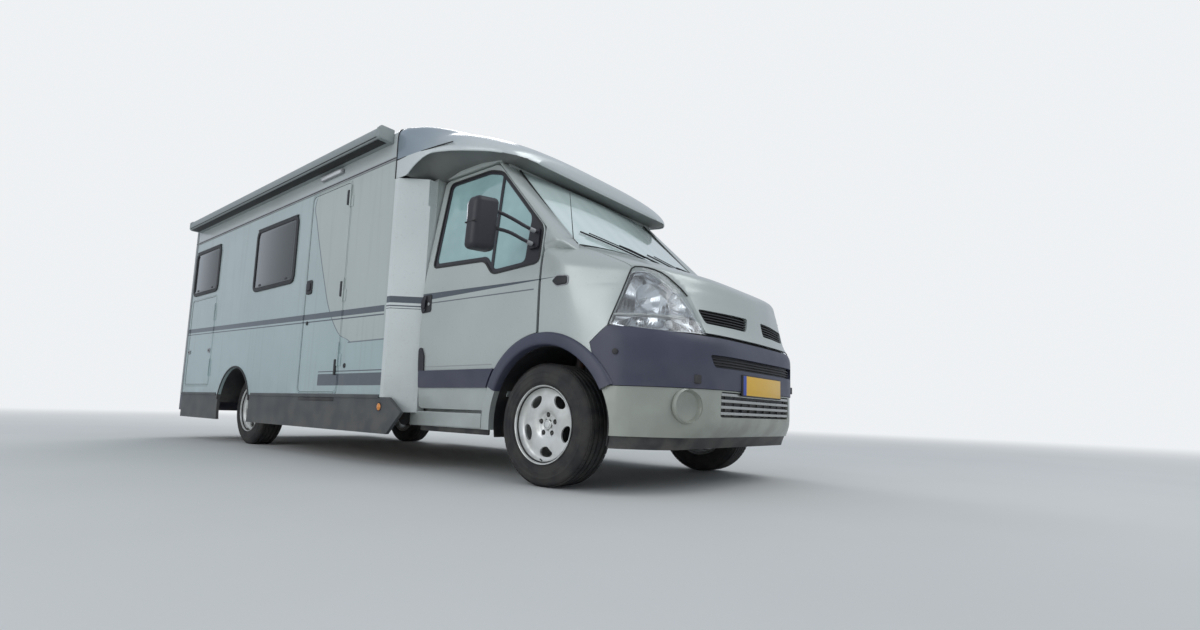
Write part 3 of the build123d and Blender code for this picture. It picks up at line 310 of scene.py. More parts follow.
def copied(obj, name):
    """A copy with a mesh of its own."""
    copy = obj.copy()
    copy.data = obj.data.copy()
    copy.name = name
    bpy.context.collection.objects.link(copy)
    return copy


def mirrored(obj, name):
    """A copy on the other side of the vehicle, its faces turned outwards again."""
    copy = copied(obj, name)
    copy.scale = (1, -1, 1)
    settle(copy)
    facing = obj.data.polygons[0].normal
    if copy.data.polygons[0].normal.dot(Vector((facing[0], -facing[1], facing[2]))) < 0:
        editing(copy, bpy.ops.mesh.flip_normals)
    return copy


def joined(name, *objects):
    """Several meshes as one piece that keeps each one's finish."""
    bpy.ops.object.select_all(action="DESELECT")
    for obj in objects:
        obj.select_set(True)
    bpy.context.view_layer.objects.active = objects[0]
    bpy.ops.object.join()
    objects[0].name = name
    return objects[0]


def finished(obj, finish, angle=32):
    """Gives a mesh its material and smooth shading up to an edge angle."""
    obj.data.materials.clear()
    obj.data.materials.append(FINISHES[finish])
    alone(obj)
    bpy.ops.object.shade_smooth_by_angle(angle=math.radians(angle))
    return obj


def add(parts, obj, finish, angle=32):
    """Finishes a mesh and puts it with the others that its piece is joined from."""
    parts.append(finished(obj, finish, angle))


def piece(obj, body, replaces=()):
    """Rides a finished piece on its body and hides the CAD nodes that it replaces."""
    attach(obj, body)
    if replaces:
        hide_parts(*replaces)
    return obj


def both_sides(obj, name, bodies=("vehicle", "vehicle"), replaces=((), ())):
    """A piece of the right side and its mirrored copy on the left."""
    other = mirrored(obj, "left_" + name)
    obj.name = "right_" + name
    piece(obj, bodies[0], replaces[0])
    piece(other, bodies[1], replaces[1])
    return obj, other


# Materials

FINISHES = {}


class Wire:
    """A socket whose arithmetic adds Math nodes."""

    def __init__(self, finish, socket):
        self.finish = finish
        self.socket = socket

    def math(self, operation, *values):
        return self.finish.add("ShaderNodeMath", {"operation": operation}, *values)

    def __abs__(self):
        return self.math("ABSOLUTE", self)

    def above(self, edge, soft=0.002):
        """0 below the edge and 1 above it."""
        settings = {"interpolation_type": "SMOOTHSTEP"}
        return self.finish.add("ShaderNodeMapRange", settings, self, edge - soft, edge + soft)

    def between(self, low, high, soft=0.002):
        return self.above(low, soft) * (1 - self.above(high, soft))

    def line(self, middle, width, soft=0.002):
        """1 within half a width of the middle."""
        return 1 - abs(self - middle).above(width / 2, soft)

    def wave(self, length):
        """A sine of that wavelength, from 0 to 1."""
        return self.math("SINE", self * (math.tau / length)) * 0.5 + 0.5


def overload(name, operation):
    """Gives wires one operator and its reflected form."""
    setattr(Wire, f"__{name}__", lambda self, other: self.math(operation, self, other))
    setattr(Wire, f"__r{name}__", lambda self, other: self.math(operation, other, self))


for operator in (("add", "ADD"), ("sub", "SUBTRACT"), ("mul", "MULTIPLY"), ("truediv", "DIVIDE"), ("pow", "POWER")):
    overload(*operator)


class Finish:
    """One procedural material built on a Principled shader."""

    def __init__(self, name, colour, roughness=0.5, **uniform):
        self.material = bpy.data.materials.new(name)
        self.material.use_nodes = True
        self.tree = self.material.node_tree
        self.shader = self.tree.nodes["Principled BSDF"]
        self.set("Base Color", (*colour, 1))
        self.set("Roughness", roughness)
        for socket, value in uniform.items():
            self.set(socket.replace("_", " ").title().replace("Ior", "IOR"), value)
        FINISHES[name] = self.material
        place = self.tree.nodes.new("ShaderNodeTexCoord").outputs["Object"]
        self.place = Wire(self, place)
        split = self.tree.nodes.new("ShaderNodeSeparateXYZ")
        self.tree.links.new(split.inputs[0], place)
        self.x, self.y, self.z = (Wire(self, output) for output in split.outputs)

    def plug(self, target, value):
        """Links a wire to a socket, or gives the socket a value."""
        if isinstance(value, Wire):
            self.tree.links.new(target, value.socket)
        else:
            target.default_value = value

    def set(self, socket, value):
        self.plug(self.shader.inputs[socket], value)

    def add(self, kind, settings, *values, **named):
        """Adds a node: its settings first, then its sockets' values or links, in order or by name."""
        node = self.tree.nodes.new(kind)
        for setting, value in settings.items():
            if setting == "points":
                curve = node.mapping.curves[0]
                for point in value[1:-1]:
                    curve.points.new(*point)
                curve.points[0].location = value[0]
                curve.points[-1].location = value[-1]
                node.mapping.update()
            else:
                setattr(node, setting, value)
        for key, value in (*enumerate(values), *named.items()):
            self.plug(node.inputs[key], value)
        return Wire(self, node.outputs[0])

    def noise(self, scale, detail, stretch=None, roughness=0.5):
        place = self.place
        if stretch:
            place = self.add("ShaderNodeMapping", {}, Vector=self.place, Scale=stretch)
        return self.add("ShaderNodeTexNoise", {}, Vector=place, Scale=scale, Detail=detail, Roughness=roughness)

    def mix(self, factor, first, second):
        """A colour between two."""
        node = self.tree.nodes.new("ShaderNodeMix")
        node.data_type = "RGBA"
        self.plug(node.inputs[0], factor)
        for key, colour in ((6, first), (7, second)):
            self.plug(node.inputs[key], colour if isinstance(colour, Wire) else (*colour, 1))
        return Wire(self, node.outputs[2])

    def base(self, factor, first, second):
        """Colours the surface between two colours."""
        self.set("Base Color", self.mix(factor, first, second))

    def rough(self, wire, gain, low):
        """Makes the surface rougher with a wire, from a lowest value."""
        self.set("Roughness", wire * gain + low)

    def bump(self, height, strength=0.3, distance=0.001):
        self.set("Normal", self.add("ShaderNodeBump", {}, Strength=strength, Distance=distance, Height=height))


def car_paint(name, colour, dust=0.25, metallic=0.25, marks=None):
    """Silver or coloured paint under clear coat, with orange peel, dust low down and optional stripes."""
    paint = Finish(name, colour, 0.34, metallic=metallic, coat_weight=0.55, coat_roughness=0.12)
    cloudy = paint.noise(1.3, 4).between(0.5, 0.95, 0.2)
    shade = paint.mix(cloudy, colour, tuple(c * 0.9 for c in colour))
    if marks:
        shade = marks(paint, shade)
    grime = (1 - paint.z.above(0.55, 0.35)) * paint.noise(5, 5).above(0.46, 0.2) * dust
    shade = paint.mix(grime, shade, (0.2, 0.19, 0.165))
    paint.base(paint.noise(60, 2).above(0.66, 0.06) * 0.12, shade, (0.3, 0.29, 0.27))
    paint.set("Roughness", paint.noise(9, 4) * 0.12 + 0.28 + grime * 0.5)
    paint.bump(paint.noise(520, 2) + paint.noise(40, 2) * 0.5, 0.05, 0.0006)


def plastic(name, colour, grain=900, gloss=0.5, worn=0.3):
    """Grained moulded plastic that has gone a little chalky."""
    skin = Finish(name, colour, gloss)
    pale = tuple(min(c * 1.7 + 0.012, 1) for c in colour)
    shade = skin.mix(skin.noise(3.5, 5).above(0.5, 0.2) * worn, colour, pale)
    dust = (1 - skin.z.above(0.5, 0.3)) * skin.noise(7, 4).above(0.5, 0.15) * 0.35
    skin.base(dust, shade, (0.17, 0.155, 0.13))
    skin.set("Roughness", skin.noise(14, 3) * 0.2 + (gloss - 0.1))
    skin.bump(skin.noise(grain, 3), 0.22, 0.0008)


def make_finishes(colours):
    """Makes every material of the vehicle."""
    silver, box, stripe = tuple(colours.body), tuple(colours.box), tuple(colours.stripe)
    corner, glass_colour, alloy_colour = tuple(colours.corner), tuple(colours.glass), tuple(colours.alloy)


    def cab_marks(paint, shade):
        """A stripe that narrows towards the front, over a thin one."""
        x, z = paint.x - ahead(0), paint.z
        run = (x + 1.18) / 1.08
        middle = run * -0.004 + 1.18
        half = (1 - run) * 0.02 + 0.004
        thick = 1 - (abs(z - middle) - half).above(0.0, 0.0012)
        thin = z.line(run * -0.01 + 1.132, 0.008, 0.0012)
        outer = abs(paint.y).above(0.965, 0.002)
        shade = paint.mix(thick * outer * x.between(-1.6, 0.08, 0.004), shade, stripe)
        return paint.mix(thin * outer * x.between(-1.6, -0.1, 0.004) * 0.8, shade, stripe)

    def box_marks(paint, shade):
        """A warm grey field with a curved, outlined edge, and the stripes before and below it."""
        x, z = paint.x - ahead(0), paint.z
        teal = 1 - z.above(1.15, 0.5)
        shade = paint.mix(teal * 0.3, shade, (box[0] * 0.72, box[1] * 0.92, box[2] * 0.95))
        points = [
            (0.0, 0.62), (0.02, 0.577), (0.045, 0.5), (0.1, 0.43), (0.226, 0.33), (0.4, 0.245), (0.635, 0.145),
            (0.83, 0.07), (0.93, 0.037), (1.0, 0.07),
        ]
        edge = paint.add("ShaderNodeFloatCurve", {"points": points}, 1.0, (z - 0.884) / 1.286) * 1.3 - 2.7
        region = (x - edge).above(0.0, 0.002) * z.between(0.884, 2.19, 0.002) * (1 - x.above(-1.4, 0.01))
        shade = paint.mix(region, shade, paint.mix(0.55, shade, tuple(colours.graphic)))
        outline = (1 - abs(x - edge).above(0.007, 0.002)) * z.between(0.884, 2.15, 0.004)
        foot = z.line(0.884, 0.01) * x.between(-1.93, -1.43, 0.003)
        outer = abs(paint.y).above(BOX_Y - 0.012, 0.002)
        for mark in (outline, foot):
            shade = paint.mix(mark * outer * 0.75, shade, stripe)
        slope = (x + 1.46) * -0.019
        stripes = z.line(slope + 1.105, 0.046, 0.0015) + z.line(slope + 1.062, 0.01, 0.0012)
        stripes = stripes * (1 - x.above(-1.452, 0.003))
        low = (z.between(0.56, 0.65, 0.0015) + z.line(0.668, 0.008, 0.0012)) * x.between(-2.36, -1.42, 0.003)
        shade = paint.mix((stripes + low) * outer, shade, stripe)
        streaks = paint.noise(7, 4, (3.0, 3.0, 0.12)).above(0.6, 0.08) * 0.1
        return paint.mix(streaks, shade, (0.16, 0.16, 0.14))

    def corner_marks(paint, shade):
        """Three level stripes."""
        z = paint.z
        stripes = z.line(1.163, 0.046, 0.0015) + z.line(1.118, 0.009, 0.0012) + z.line(1.1, 0.005, 0.0012)
        return paint.mix(stripes, shade, stripe)

    def cap_white_and_highlight(paint, shade):
        """A painted highlight that pales the front towards white, and white paint below the seam."""
        x, z = paint.x - ahead(0), paint.z
        below = (1 - (z - SEAM_Z - (x - SEAM_X) * SEAM_RISE).above(0.0, 0.002)) * (1 - x.above(-0.86, 0.1))
        # painted highlight: the cap's front is paled towards the corner white, standing in for the glare on it
        shade = paint.mix(x.above(-0.95, 0.35) * 0.95, shade, corner)
        return paint.mix(below, shade, corner)

    car_paint("silver_paint", silver)
    car_paint("cab_door_paint", silver, marks=cab_marks)
    car_paint("corner_paint", corner, marks=corner_marks, metallic=0.05)
    car_paint("box_side_skin", box, marks=box_marks, metallic=0.0)
    car_paint("box_white_skin", tuple(colours.white), metallic=0.0)
    car_paint("cap_paint", tuple(colours.cap), metallic=0.45, marks=cap_white_and_highlight)
    car_paint("apron_paint", tuple(colours.apron), dust=0.45, metallic=0.2)
    plastic("soffit_skin", (0.15, 0.155, 0.15))
    plastic("slate_plastic", tuple(colours.slate), gloss=0.42, worn=0.25)
    plastic("skirt_plastic", (0.058, 0.062, 0.066), worn=0.25)
    plastic("black_trim", (0.018, 0.018, 0.02))
    plastic("mirror_plastic", (0.022, 0.021, 0.028), gloss=0.45, worn=0.15)
    plastic("frame_grey", (0.3, 0.31, 0.32), gloss=0.45, worn=0.2)
    plastic("awning_skin", tuple(colours.awning), grain=300, gloss=0.38, worn=0.1)

    rubber = Finish("seal_rubber", (0.012, 0.012, 0.013), 0.62)
    rubber.base(rubber.noise(30, 4), (0.01, 0.01, 0.011), (0.03, 0.03, 0.03))
    rubber.bump(rubber.noise(700, 2), 0.15, 0.0005)

    glass = Finish("cab_glass", glass_colour, 0.08, coat_weight=1.0, coat_roughness=0.02)
    quilt = glass.z.wave(0.11) * abs(glass.x + glass.y).wave(0.11)
    hazy = glass.noise(3.0, 3).above(0.5, 0.25)
    shade = glass.mix(hazy * 0.5, glass_colour, tuple(min(c * 1.35, 1) for c in glass_colour))
    glass.base((1 - quilt) * 0.08, shade, (0.12, 0.2, 0.2))
    glass.rough(hazy, 0.06, 0.06)

    screen = Finish("windscreen_glass", (0.74, 0.83, 0.82), 0.07, coat_weight=1.0, coat_roughness=0.02)
    # painted shade: darker bands stand in for the shade in the folds of the sunshade behind the windscreen
    painted_fold_shade = screen.y.wave(0.16) * screen.noise(2.2, 3)
    screen.base(painted_fold_shade * 0.5, (0.74, 0.87, 0.84), (0.54, 0.71, 0.68))
    screen.rough(screen.noise(6, 3), 0.06, 0.04)

    acrylic = Finish("window_acrylic", (0.022, 0.026, 0.03), 0.1, coat_weight=0.8, coat_roughness=0.04)
    # painted shade: lighter and darker bands stand in for light and shade on the pleats of the curtain behind the
    # acrylic
    painted_pleat_shade = acrylic.x.wave(0.045) * acrylic.noise(2, 3)
    acrylic.base(painted_pleat_shade * 0.55, (0.016, 0.02, 0.024), (0.075, 0.08, 0.08))
    acrylic.rough(acrylic.noise(25, 4), 0.08, 0.06)

    dome = Finish("dome_acrylic", (0.3, 0.33, 0.34), 0.12, coat_weight=0.8)
    dome.base(dome.noise(6, 4), (0.24, 0.27, 0.28), (0.4, 0.42, 0.42))
    dome.rough(dome.noise(25, 4), 0.15, 0.08)

    lens = Finish("lamp_glass", (0.85, 0.88, 0.9), 0.04, transmission_weight=0.93, ior=1.35, coat_weight=0.3)
    lens.rough(lens.noise(40, 3), 0.05, 0.02)
    lens.bump(lens.noise(18, 2), 0.05, 0.002)

    chrome = Finish("reflector_chrome", (0.86, 0.87, 0.89), 0.12, metallic=1.0)
    chrome.rough(chrome.noise(60, 3), 0.1, 0.08)
    chrome.bump(chrome.x.wave(0.013) + chrome.z.wave(0.05), 0.25, 0.001)

    grille = Finish("bright_bars", (0.6, 0.61, 0.6), 0.28, metallic=0.8)
    grille.base(grille.noise(12, 4), (0.56, 0.57, 0.56), (0.44, 0.44, 0.42))
    grille.rough(grille.noise(50, 3), 0.2, 0.2)

    red = Finish("red_lens", (0.38, 0.012, 0.01), 0.12, coat_weight=0.8)
    red.base(red.z.wave(0.012) * red.y.wave(0.012), (0.3, 0.008, 0.008), (0.52, 0.03, 0.02))
    red.bump(red.z.wave(0.012) + red.y.wave(0.012), 0.3, 0.001)
    amber = Finish("amber_lens", (0.75, 0.24, 0.02), 0.14, coat_weight=0.8)
    amber.base(amber.z.wave(0.01), (0.62, 0.17, 0.01), (0.85, 0.33, 0.04))
    amber.bump(amber.z.wave(0.01), 0.3, 0.001)
    clear = Finish("clear_lens", (0.78, 0.8, 0.82), 0.14, coat_weight=0.8)
    clear.base(clear.z.wave(0.012), (0.66, 0.68, 0.7), (0.86, 0.87, 0.88))
    clear.bump(clear.z.wave(0.012) + clear.x.wave(0.012), 0.35, 0.001)

    plate_skin = Finish("plate_yellow", (0.8, 0.46, 0.02), 0.32, coat_weight=0.4)
    blue_end = 1 - plate_skin.y.above(-0.222, 0.001)
    edge = abs(plate_skin.y).above(0.256, 0.0008)
    shade = plate_skin.mix(plate_skin.noise(20, 4) * 0.3, (0.8, 0.46, 0.02), (0.62, 0.36, 0.03))
    shade = plate_skin.mix(blue_end, shade, (0.02, 0.06, 0.36))
    plate_skin.base(edge * 0.5, shade, (0.1, 0.08, 0.04))
    plate_skin.bump(plate_skin.noise(900, 2), 0.1, 0.0004)

    tyre = Finish("tyre_rubber", (0.02, 0.02, 0.022), 0.78)
    dust = tyre.noise(10, 6).above(0.48, 0.16)
    tyre.base(dust * 0.45, (0.016, 0.016, 0.018), (0.085, 0.078, 0.068))
    tyre.rough(dust, 0.15, 0.7)
    tyre.bump(tyre.noise(450, 3), 0.2, 0.0008)

    alloy = Finish("rim_alloy", alloy_colour, 0.34, metallic=0.45)
    soil = alloy.noise(9, 5).above(0.52, 0.16)
    alloy.base(soil * 0.35, alloy_colour, (0.2, 0.18, 0.15))
    alloy.rough(soil, 0.25, 0.28)
    alloy.bump(alloy.noise(600, 2), 0.06, 0.0005)

    steel = Finish("chassis_steel", (0.035, 0.035, 0.036), 0.6, metallic=0.3)
    rust = steel.noise(6, 7, roughness=0.65).above(0.58, 0.08)
    steel.base(rust * 0.7, (0.03, 0.03, 0.032), (0.15, 0.062, 0.028))
    steel.rough(rust, 0.25, 0.55)
    steel.bump(steel.noise(120, 4), 0.3, 0.001)

    board = Finish("floor_board", (0.34, 0.22, 0.12), 0.5)
    grain = board.noise(14, 6, (0.35, 4.0, 1.0))
    planks = abs(board.y).wave(0.36).above(0.02, 0.02)
    board.base(1 - planks, board.mix(grain, (0.4, 0.27, 0.15), (0.2, 0.12, 0.065)), (0.05, 0.03, 0.02))
    board.bump(grain, 0.15, 0.001)

    cloth = Finish("seat_cloth", (0.16, 0.18, 0.21), 0.9, sheen_weight=0.4)
    weave = cloth.x.wave(0.0035) * cloth.z.wave(0.0035) + cloth.y.wave(0.0035) * 0.5
    cloth.base(weave, (0.1, 0.115, 0.14), (0.2, 0.215, 0.24))
    cloth.rough(cloth.noise(4, 4), 0.15, 0.8)
    cloth.bump(weave + cloth.noise(300, 2) * 0.4, 0.4, 0.0008)

    dash = Finish("dash_plastic", (0.055, 0.057, 0.062), 0.6)
    dash.base(dash.z.above(1.12, 0.03), (0.13, 0.13, 0.125), (0.04, 0.042, 0.048))
    dash.bump(dash.add("ShaderNodeTexVoronoi", {}, Vector=dash.place, Scale=420.0), 0.35, 0.0008)


# Sizes and colours a user would change


class CamperColours(bpy.types.PropertyGroup):
    """The colours of the vehicle's finishes."""


class CamperSizes(bpy.types.PropertyGroup):
    """The sizes of the vehicle's trim."""


def colour_property(label, description, default):
    return bpy.props.FloatVectorProperty(
        name=label, description=description, default=default, min=0, max=1, size=3, subtype="COLOR"
    )


def length_property(label, description, default):
    return bpy.props.FloatProperty(name=label, description=description, default=default, min=0, unit="LENGTH")


CamperColours.__annotations__ = {
    "body": colour_property("Body silver", "Paint of the cab", (0.5, 0.54, 0.52)),
    "apron": colour_property("Apron silver", "Paint of the lower front", (0.37, 0.395, 0.345)),
    "box": colour_property("Box side", "Skin of the living box's sides", (0.43, 0.51, 0.51)),
    "white": colour_property("Box white", "Skin of the roof and the rear wall", (0.5, 0.54, 0.54)),
    "corner": colour_property("Corner panel", "Skin of the panels between the cab and the box", (0.66, 0.7, 0.69)),
    "graphic": colour_property("Graphic panel", "The warm grey field on the box's sides", (0.47, 0.49, 0.46)),
    "stripe": colour_property("Stripe", "The stripes along the sides", (0.07, 0.085, 0.105)),
    "cap": colour_property("Roof cap", "Paint of the moulded cap over the cab", (0.29, 0.35, 0.4)),
    "slate": colour_property("Slate", "Bumper, cladding and arches", (0.05, 0.054, 0.085)),
    "awning": colour_property("Awning", "The awning's cassette", (0.25, 0.28, 0.28)),
    "glass": colour_property("Cab glass", "Cab windows with their thermal screens drawn", (0.3, 0.46, 0.46)),
    "alloy": colour_property("Wheels", "The wheels' silver", (0.78, 0.79, 0.77)),
}
CamperSizes.__annotations__ = {
    "skin": length_property("Skin", "Thickness of the cab's outer panels", 0.022),
    "tread_depth": length_property("Tread depth", "Depth of the tyres' grooves", 0.008),
    "bar": length_property("Grille bar", "Half the height of a grille bar", 0.008),
}


# Stage

SKY_SEEN = (0.86, 0.88, 0.9, 1)


class CAMPER_OT_stage(bpy.types.Operator):
    """Adds the floor, the lamps, the sky and the camera"""

    bl_idname = "camper.stage"
    bl_label = "Stage"

    def execute(self, context):
        world = bpy.data.worlds.new("studio")
        context.scene.world = world
        world.use_nodes = True
        nodes, links = world.node_tree.nodes, world.node_tree.links
        light = nodes["Background"]
        light.inputs["Color"].default_value = (0.8, 0.87, 0.96, 1)
        light.inputs["Strength"].default_value = 0.62
        shown = nodes.new("ShaderNodeBackground")
        shown.inputs["Color"].default_value = SKY_SEEN
        path = nodes.new("ShaderNodeLightPath")
        mixed = nodes.new("ShaderNodeMixShader")
        reflected = nodes.new("ShaderNodeMath")
        reflected.operation = "MAXIMUM"
        links.new(reflected.inputs[0], path.outputs["Is Camera Ray"])
        links.new(reflected.inputs[1], path.outputs["Is Transmission Ray"])
        links.new(mixed.inputs[0], reflected.outputs[0])
        links.new(mixed.inputs[1], light.outputs[0])
        links.new(mixed.inputs[2], shown.outputs[0])
        links.new(nodes["World Output"].inputs[0], mixed.outputs[0])

        bpy.ops.object.select_all(action="DESELECT")
        bpy.ops.mesh.primitive_grid_add(x_subdivisions=8, y_subdivisions=8, size=120)
        floor = context.active_object
        floor.name = "floor"
        ground = Finish("studio_floor", (0.62, 0.63, 0.62), 0.9)
        ground.base(ground.noise(0.7, 4), (0.6, 0.61, 0.6), (0.66, 0.67, 0.66))
        ground.bump(ground.noise(60, 3), 0.05, 0.001)
        far = (ground.x * ground.x + ground.y * ground.y) ** 0.5
        seen_by_camera = ground.add("ShaderNodeLightPath", {})
        surface_shader = Wire(ground, ground.shader.outputs[0])
        glow = ground.add("ShaderNodeEmission", {}, SKY_SEEN)
        blend = ground.add("ShaderNodeMixShader", {}, far.above(13.0, 8.0) * seen_by_camera, surface_shader, glow)
        ground.plug(ground.tree.nodes["Material Output"].inputs[0], blend)
        floor.data.materials.append(ground.material)

        lamps = (
            ("sky_key", (9.0, 1.5, 9.5), (1.0, -0.3, 1.2), 7.0, 320),
            ("side_fill", (1.0, -11.0, 4.5), (0.0, -1.0, 1.0), 8.0, 330),
            ("back_rim", (-9.0, 5.0, 8.0), (0.0, 0.0, 1.5), 6.0, 360),
        )
        for name, place, aim, size, power in lamps:
            lamp = bpy.data.lights.new(name, "AREA")
            lamp.size = size
            lamp.energy = power
            obj = bpy.data.objects.new(name, lamp)
            obj.location = place
            obj.rotation_euler = (Vector(aim) - Vector(place)).to_track_quat("-Z", "Y").to_euler()
            context.collection.objects.link(obj)

        camera = bpy.data.cameras.new("photo_camera")
        camera.sensor_width = 36
        focal_pixels, axis_down = 595.617, 347.154
        camera.lens = focal_pixels * camera.sensor_width / PHOTO_WIDTH
        camera.shift_y = (axis_down - PHOTO_HEIGHT / 2) / PHOTO_WIDTH
        place = (ahead(2.369), -3.372, 0.421)
        yaw, pitch, roll = math.radians(129.421), math.radians(6.286), math.radians(1.938)
        forward = Vector((math.cos(yaw) * math.cos(pitch), math.sin(yaw) * math.cos(pitch), math.sin(pitch)))
        level = Vector((math.sin(yaw), -math.cos(yaw), 0))
        upright = level.cross(forward)
        right = level * math.cos(roll) + upright * math.sin(roll)
        up = upright * math.cos(roll) - level * math.sin(roll)
        obj = bpy.data.objects.new("photo_camera", camera)
        obj.matrix_world = Matrix.Translation(place) @ Matrix((right, up, -forward)).transposed().to_4x4()
        context.collection.objects.link(obj)
        context.scene.camera = obj
        context.scene.view_settings.view_transform = "Standard"
        return {"FINISHED"}


NODE_FINISHES = {
    node: finish
    for finish, nodes in {
        "apron_paint": "front_apron",
        "awning_skin": "awning_cassette",
        "black_trim": "tanks steering_wheel",
        "box_side_skin": "left_side_wall right_side_wall entry_door left_garage_door right_garage_door",
        "box_white_skin": "rear_wall box_roof",
        "cab_door_paint": "left_cab_door right_cab_door",
        "cab_glass": "left_door_glass right_door_glass",
        "cap_paint": "roof_cap",
        "chassis_steel": "chassis_frame front_suspension rear_axle exhaust engine_block left_knuckle right_knuckle",
        "clear_lens": "headlamps",
        "corner_paint": "corner_panels",
        "dash_plastic": "dashboard",
        "floor_board": "box_floor",
        "frame_grey": "rooflights",
        "red_lens": "rear_lamps",
        "seat_cloth": "cab_seats",
        "silver_paint": "cab_shell bonnet front_wings",
        "skirt_plastic": "skirts",
        "slate_plastic": "front_bumper rear_bumper",
        "window_acrylic": "side_windows",
        "windscreen_glass": "windscreen",
    }.items()
    for node in nodes.split()
}


class CAMPER_OT_finishes(bpy.types.Operator):
    """Makes the materials and finishes the CAD nodes with them"""

    bl_idname = "camper.finishes"
    bl_label = "Finishes"

    def execute(self, context):
        make_finishes(context.scene.camper_colours)
        for name, node in frame["nodes"].items():
            finish = NODE_FINISHES.get(name) or ("tyre_rubber" if name.endswith("tyre") else "rim_alloy")
            if not node.material_slots:
                raise RuntimeError(f"{name} has no material slot")
            for material_slot in node.material_slots:
                material_slot.material = FINISHES[finish]
        return {"FINISHED"}


# Front body: one smooth surface that the panels are cut from

DOOR_PROFILE = (  # height, half the width over the cab doors
    (0.38, 0.966), (0.5, 0.977), (0.6, 0.985), (0.73, 0.992), (0.86, 0.9955), (1.0, 0.996), (1.12, 0.9935),
    (1.25, 0.986), (1.33, 0.976), (1.42, 0.9625), (1.55, 0.9415), (1.7, 0.9165), (1.85, 0.8915), (2.08, 0.852),
)
CROWN = (  # y from the middle, height at the front door's edge
    (0, 1.519), (0.2, 1.5155), (0.4, 1.505), (0.6, 1.487), (0.76, 1.466), (0.8, 1.451), (0.86, 1.424), (0.922, 1.376),
    (0.962, 1.305), (0.986, 1.22), (0.994, 1.1), (0.997, 0.9), (0.998, 0),
)
PROFILE = (  # height, how far ahead of the axle the middle of the front is
    (0.22, 0.69), (0.305, 0.759), (0.335, 0.812), (0.393, 0.838), (0.54, 0.862), (0.7, 0.868), (0.85, 0.842),
    (1.085, 0.816), (1.135, 0.803), (1.17, 0.775), (1.222, 0.68), (1.27, 0.585), (1.358, 0.4), (1.44, 0.175),
    (1.517, -0.06), (1.53, -0.1),
)
PLAN = (  # distance ahead of the axle, half width
    (-0.2, 0.992), (0.2, 0.992), (0.34, 0.975), (0.48, 0.944), (0.6, 0.862), (0.7, 0.75), (0.75, 0.69), (0.788, 0.625),
    (0.82, 0.555), (0.84, 0.49), (0.855, 0.38), (0.862, 0.25), (0.868, 0),
)
NOSE_LOW = (  # distance ahead, half width of the front at NOSE_Z
    (-0.2, 1.012), (0.2, 1.012), (0.43, 0.965), (0.6, 0.85), (0.7, 0.725), (0.775, 0.58), (0.785, 0.5), (0.814, 0.25),
    (0.826, 0),
)
NOSE_HIGH = (  # the same, higher up by NOSE_RISE
    (-0.2, 1.012), (0.04, 1.0), (0.23, 0.845), (0.4, 0.82), (0.48, 0.685), (0.553, 0.58), (0.615, 0.5), (0.722, 0.25),
    (0.744, 0),
)
BONNET_FALL = 0.39
BONNET_EDGE = ((-0.01, 0.752), (0.48, 0.83), (0.684, 0.614), (0.712, 0.588), (0.76, 0.548), (0.96, 0.548))
LAMP_EDGE = ((0.425, 0.884), (0.512, 1.32), (0.76, 1.32), (0.96, 1.0), (0.96, 0.853), (0.8, 0.853))
BUMPER_EDGE = ((0.388, 0.566), (0.326, 0.793), (0.425, 0.884), (0.8, 0.848), (0.96, 0.848), (0.96, 0.566))
ARCH_RADIUS = 0.447
WING_REAR = -0.054
NOSE_X = 0.868  # the foremost point, ahead of the axle
NOSE_Z = 0.85
NOSE_RISE = 0.8
FRONT_REAR = -0.045  # the pole that the front body's angles are taken round
FRONT_STEPS = 96
FRONT_ANGLES = [math.radians(-90 + 180 * i / FRONT_STEPS) for i in range(FRONT_STEPS + 1)]
FRONT_HEIGHTS = [0.24 + 0.0253 * i for i in range(35)] + [1.112 + 0.0126 * i for i in range(32)]


def within(x, y, z):
    """True where a point, ahead of the axle by x, is inside the front body."""
    y = abs(y)
    if x > NOSE_X or x > along(PROFILE, z) or y > along(PLAN, x):
        return False
    full = smooth(y, 0.8, 0.96) * (1 - smooth(x, 0.02, 0.38))
    if z > along(CROWN, y - 0.05 * full) - BONNET_FALL * (x + 0.06):
        return False
    if x < 0.3 and y > along(DOOR_PROFILE, z) + 0.03 * max(x, 0):
        return False
    if z > NOSE_Z:
        t = (z - NOSE_Z) / NOSE_RISE
        nose = [(a + (c - a) * t, b + (d - b) * t) for (a, b), (c, d) in zip(NOSE_LOW, NOSE_HIGH)]
        if x > nose[-1][0] or y > along(nose, x):
            return False
    return True


def reach(test, low, high):
    """The last value between two for which a test holds."""
    for _ in range(16):
        middle = (low + high) / 2
        if test(middle):
            low = middle
        else:
            high = middle
    return low


def front_radii():
    """Distance of the front body from the middle of the doors' front edge, by height and angle, smoothed."""
    rows = []
    for z in FRONT_HEIGHTS:
        row = []
        for angle in FRONT_ANGLES[: FRONT_STEPS // 2 + 1]:
            c, s = math.cos(angle), math.sin(angle)
            row.append(reach(lambda r: within(FRONT_REAR + r * c, r * s, z), 0.0, 1.4))
        rows.append(row + row[-2::-1])
    for _ in range(3):
        rows = [
            [(row[max(j - 1, 0)] + 2 * row[j] + row[min(j + 1, len(row) - 1)]) / 4 for j in range(len(row))]
            for row in rows
        ]
        rows = [rows[0]] + [
            [(a + 2 * b + c) / 4 for a, b, c in zip(rows[i - 1], rows[i], rows[i + 1])]
            for i in range(1, len(rows) - 1)
        ] + [rows[-1]]
    return rows


FRONT_RADII = front_radii()


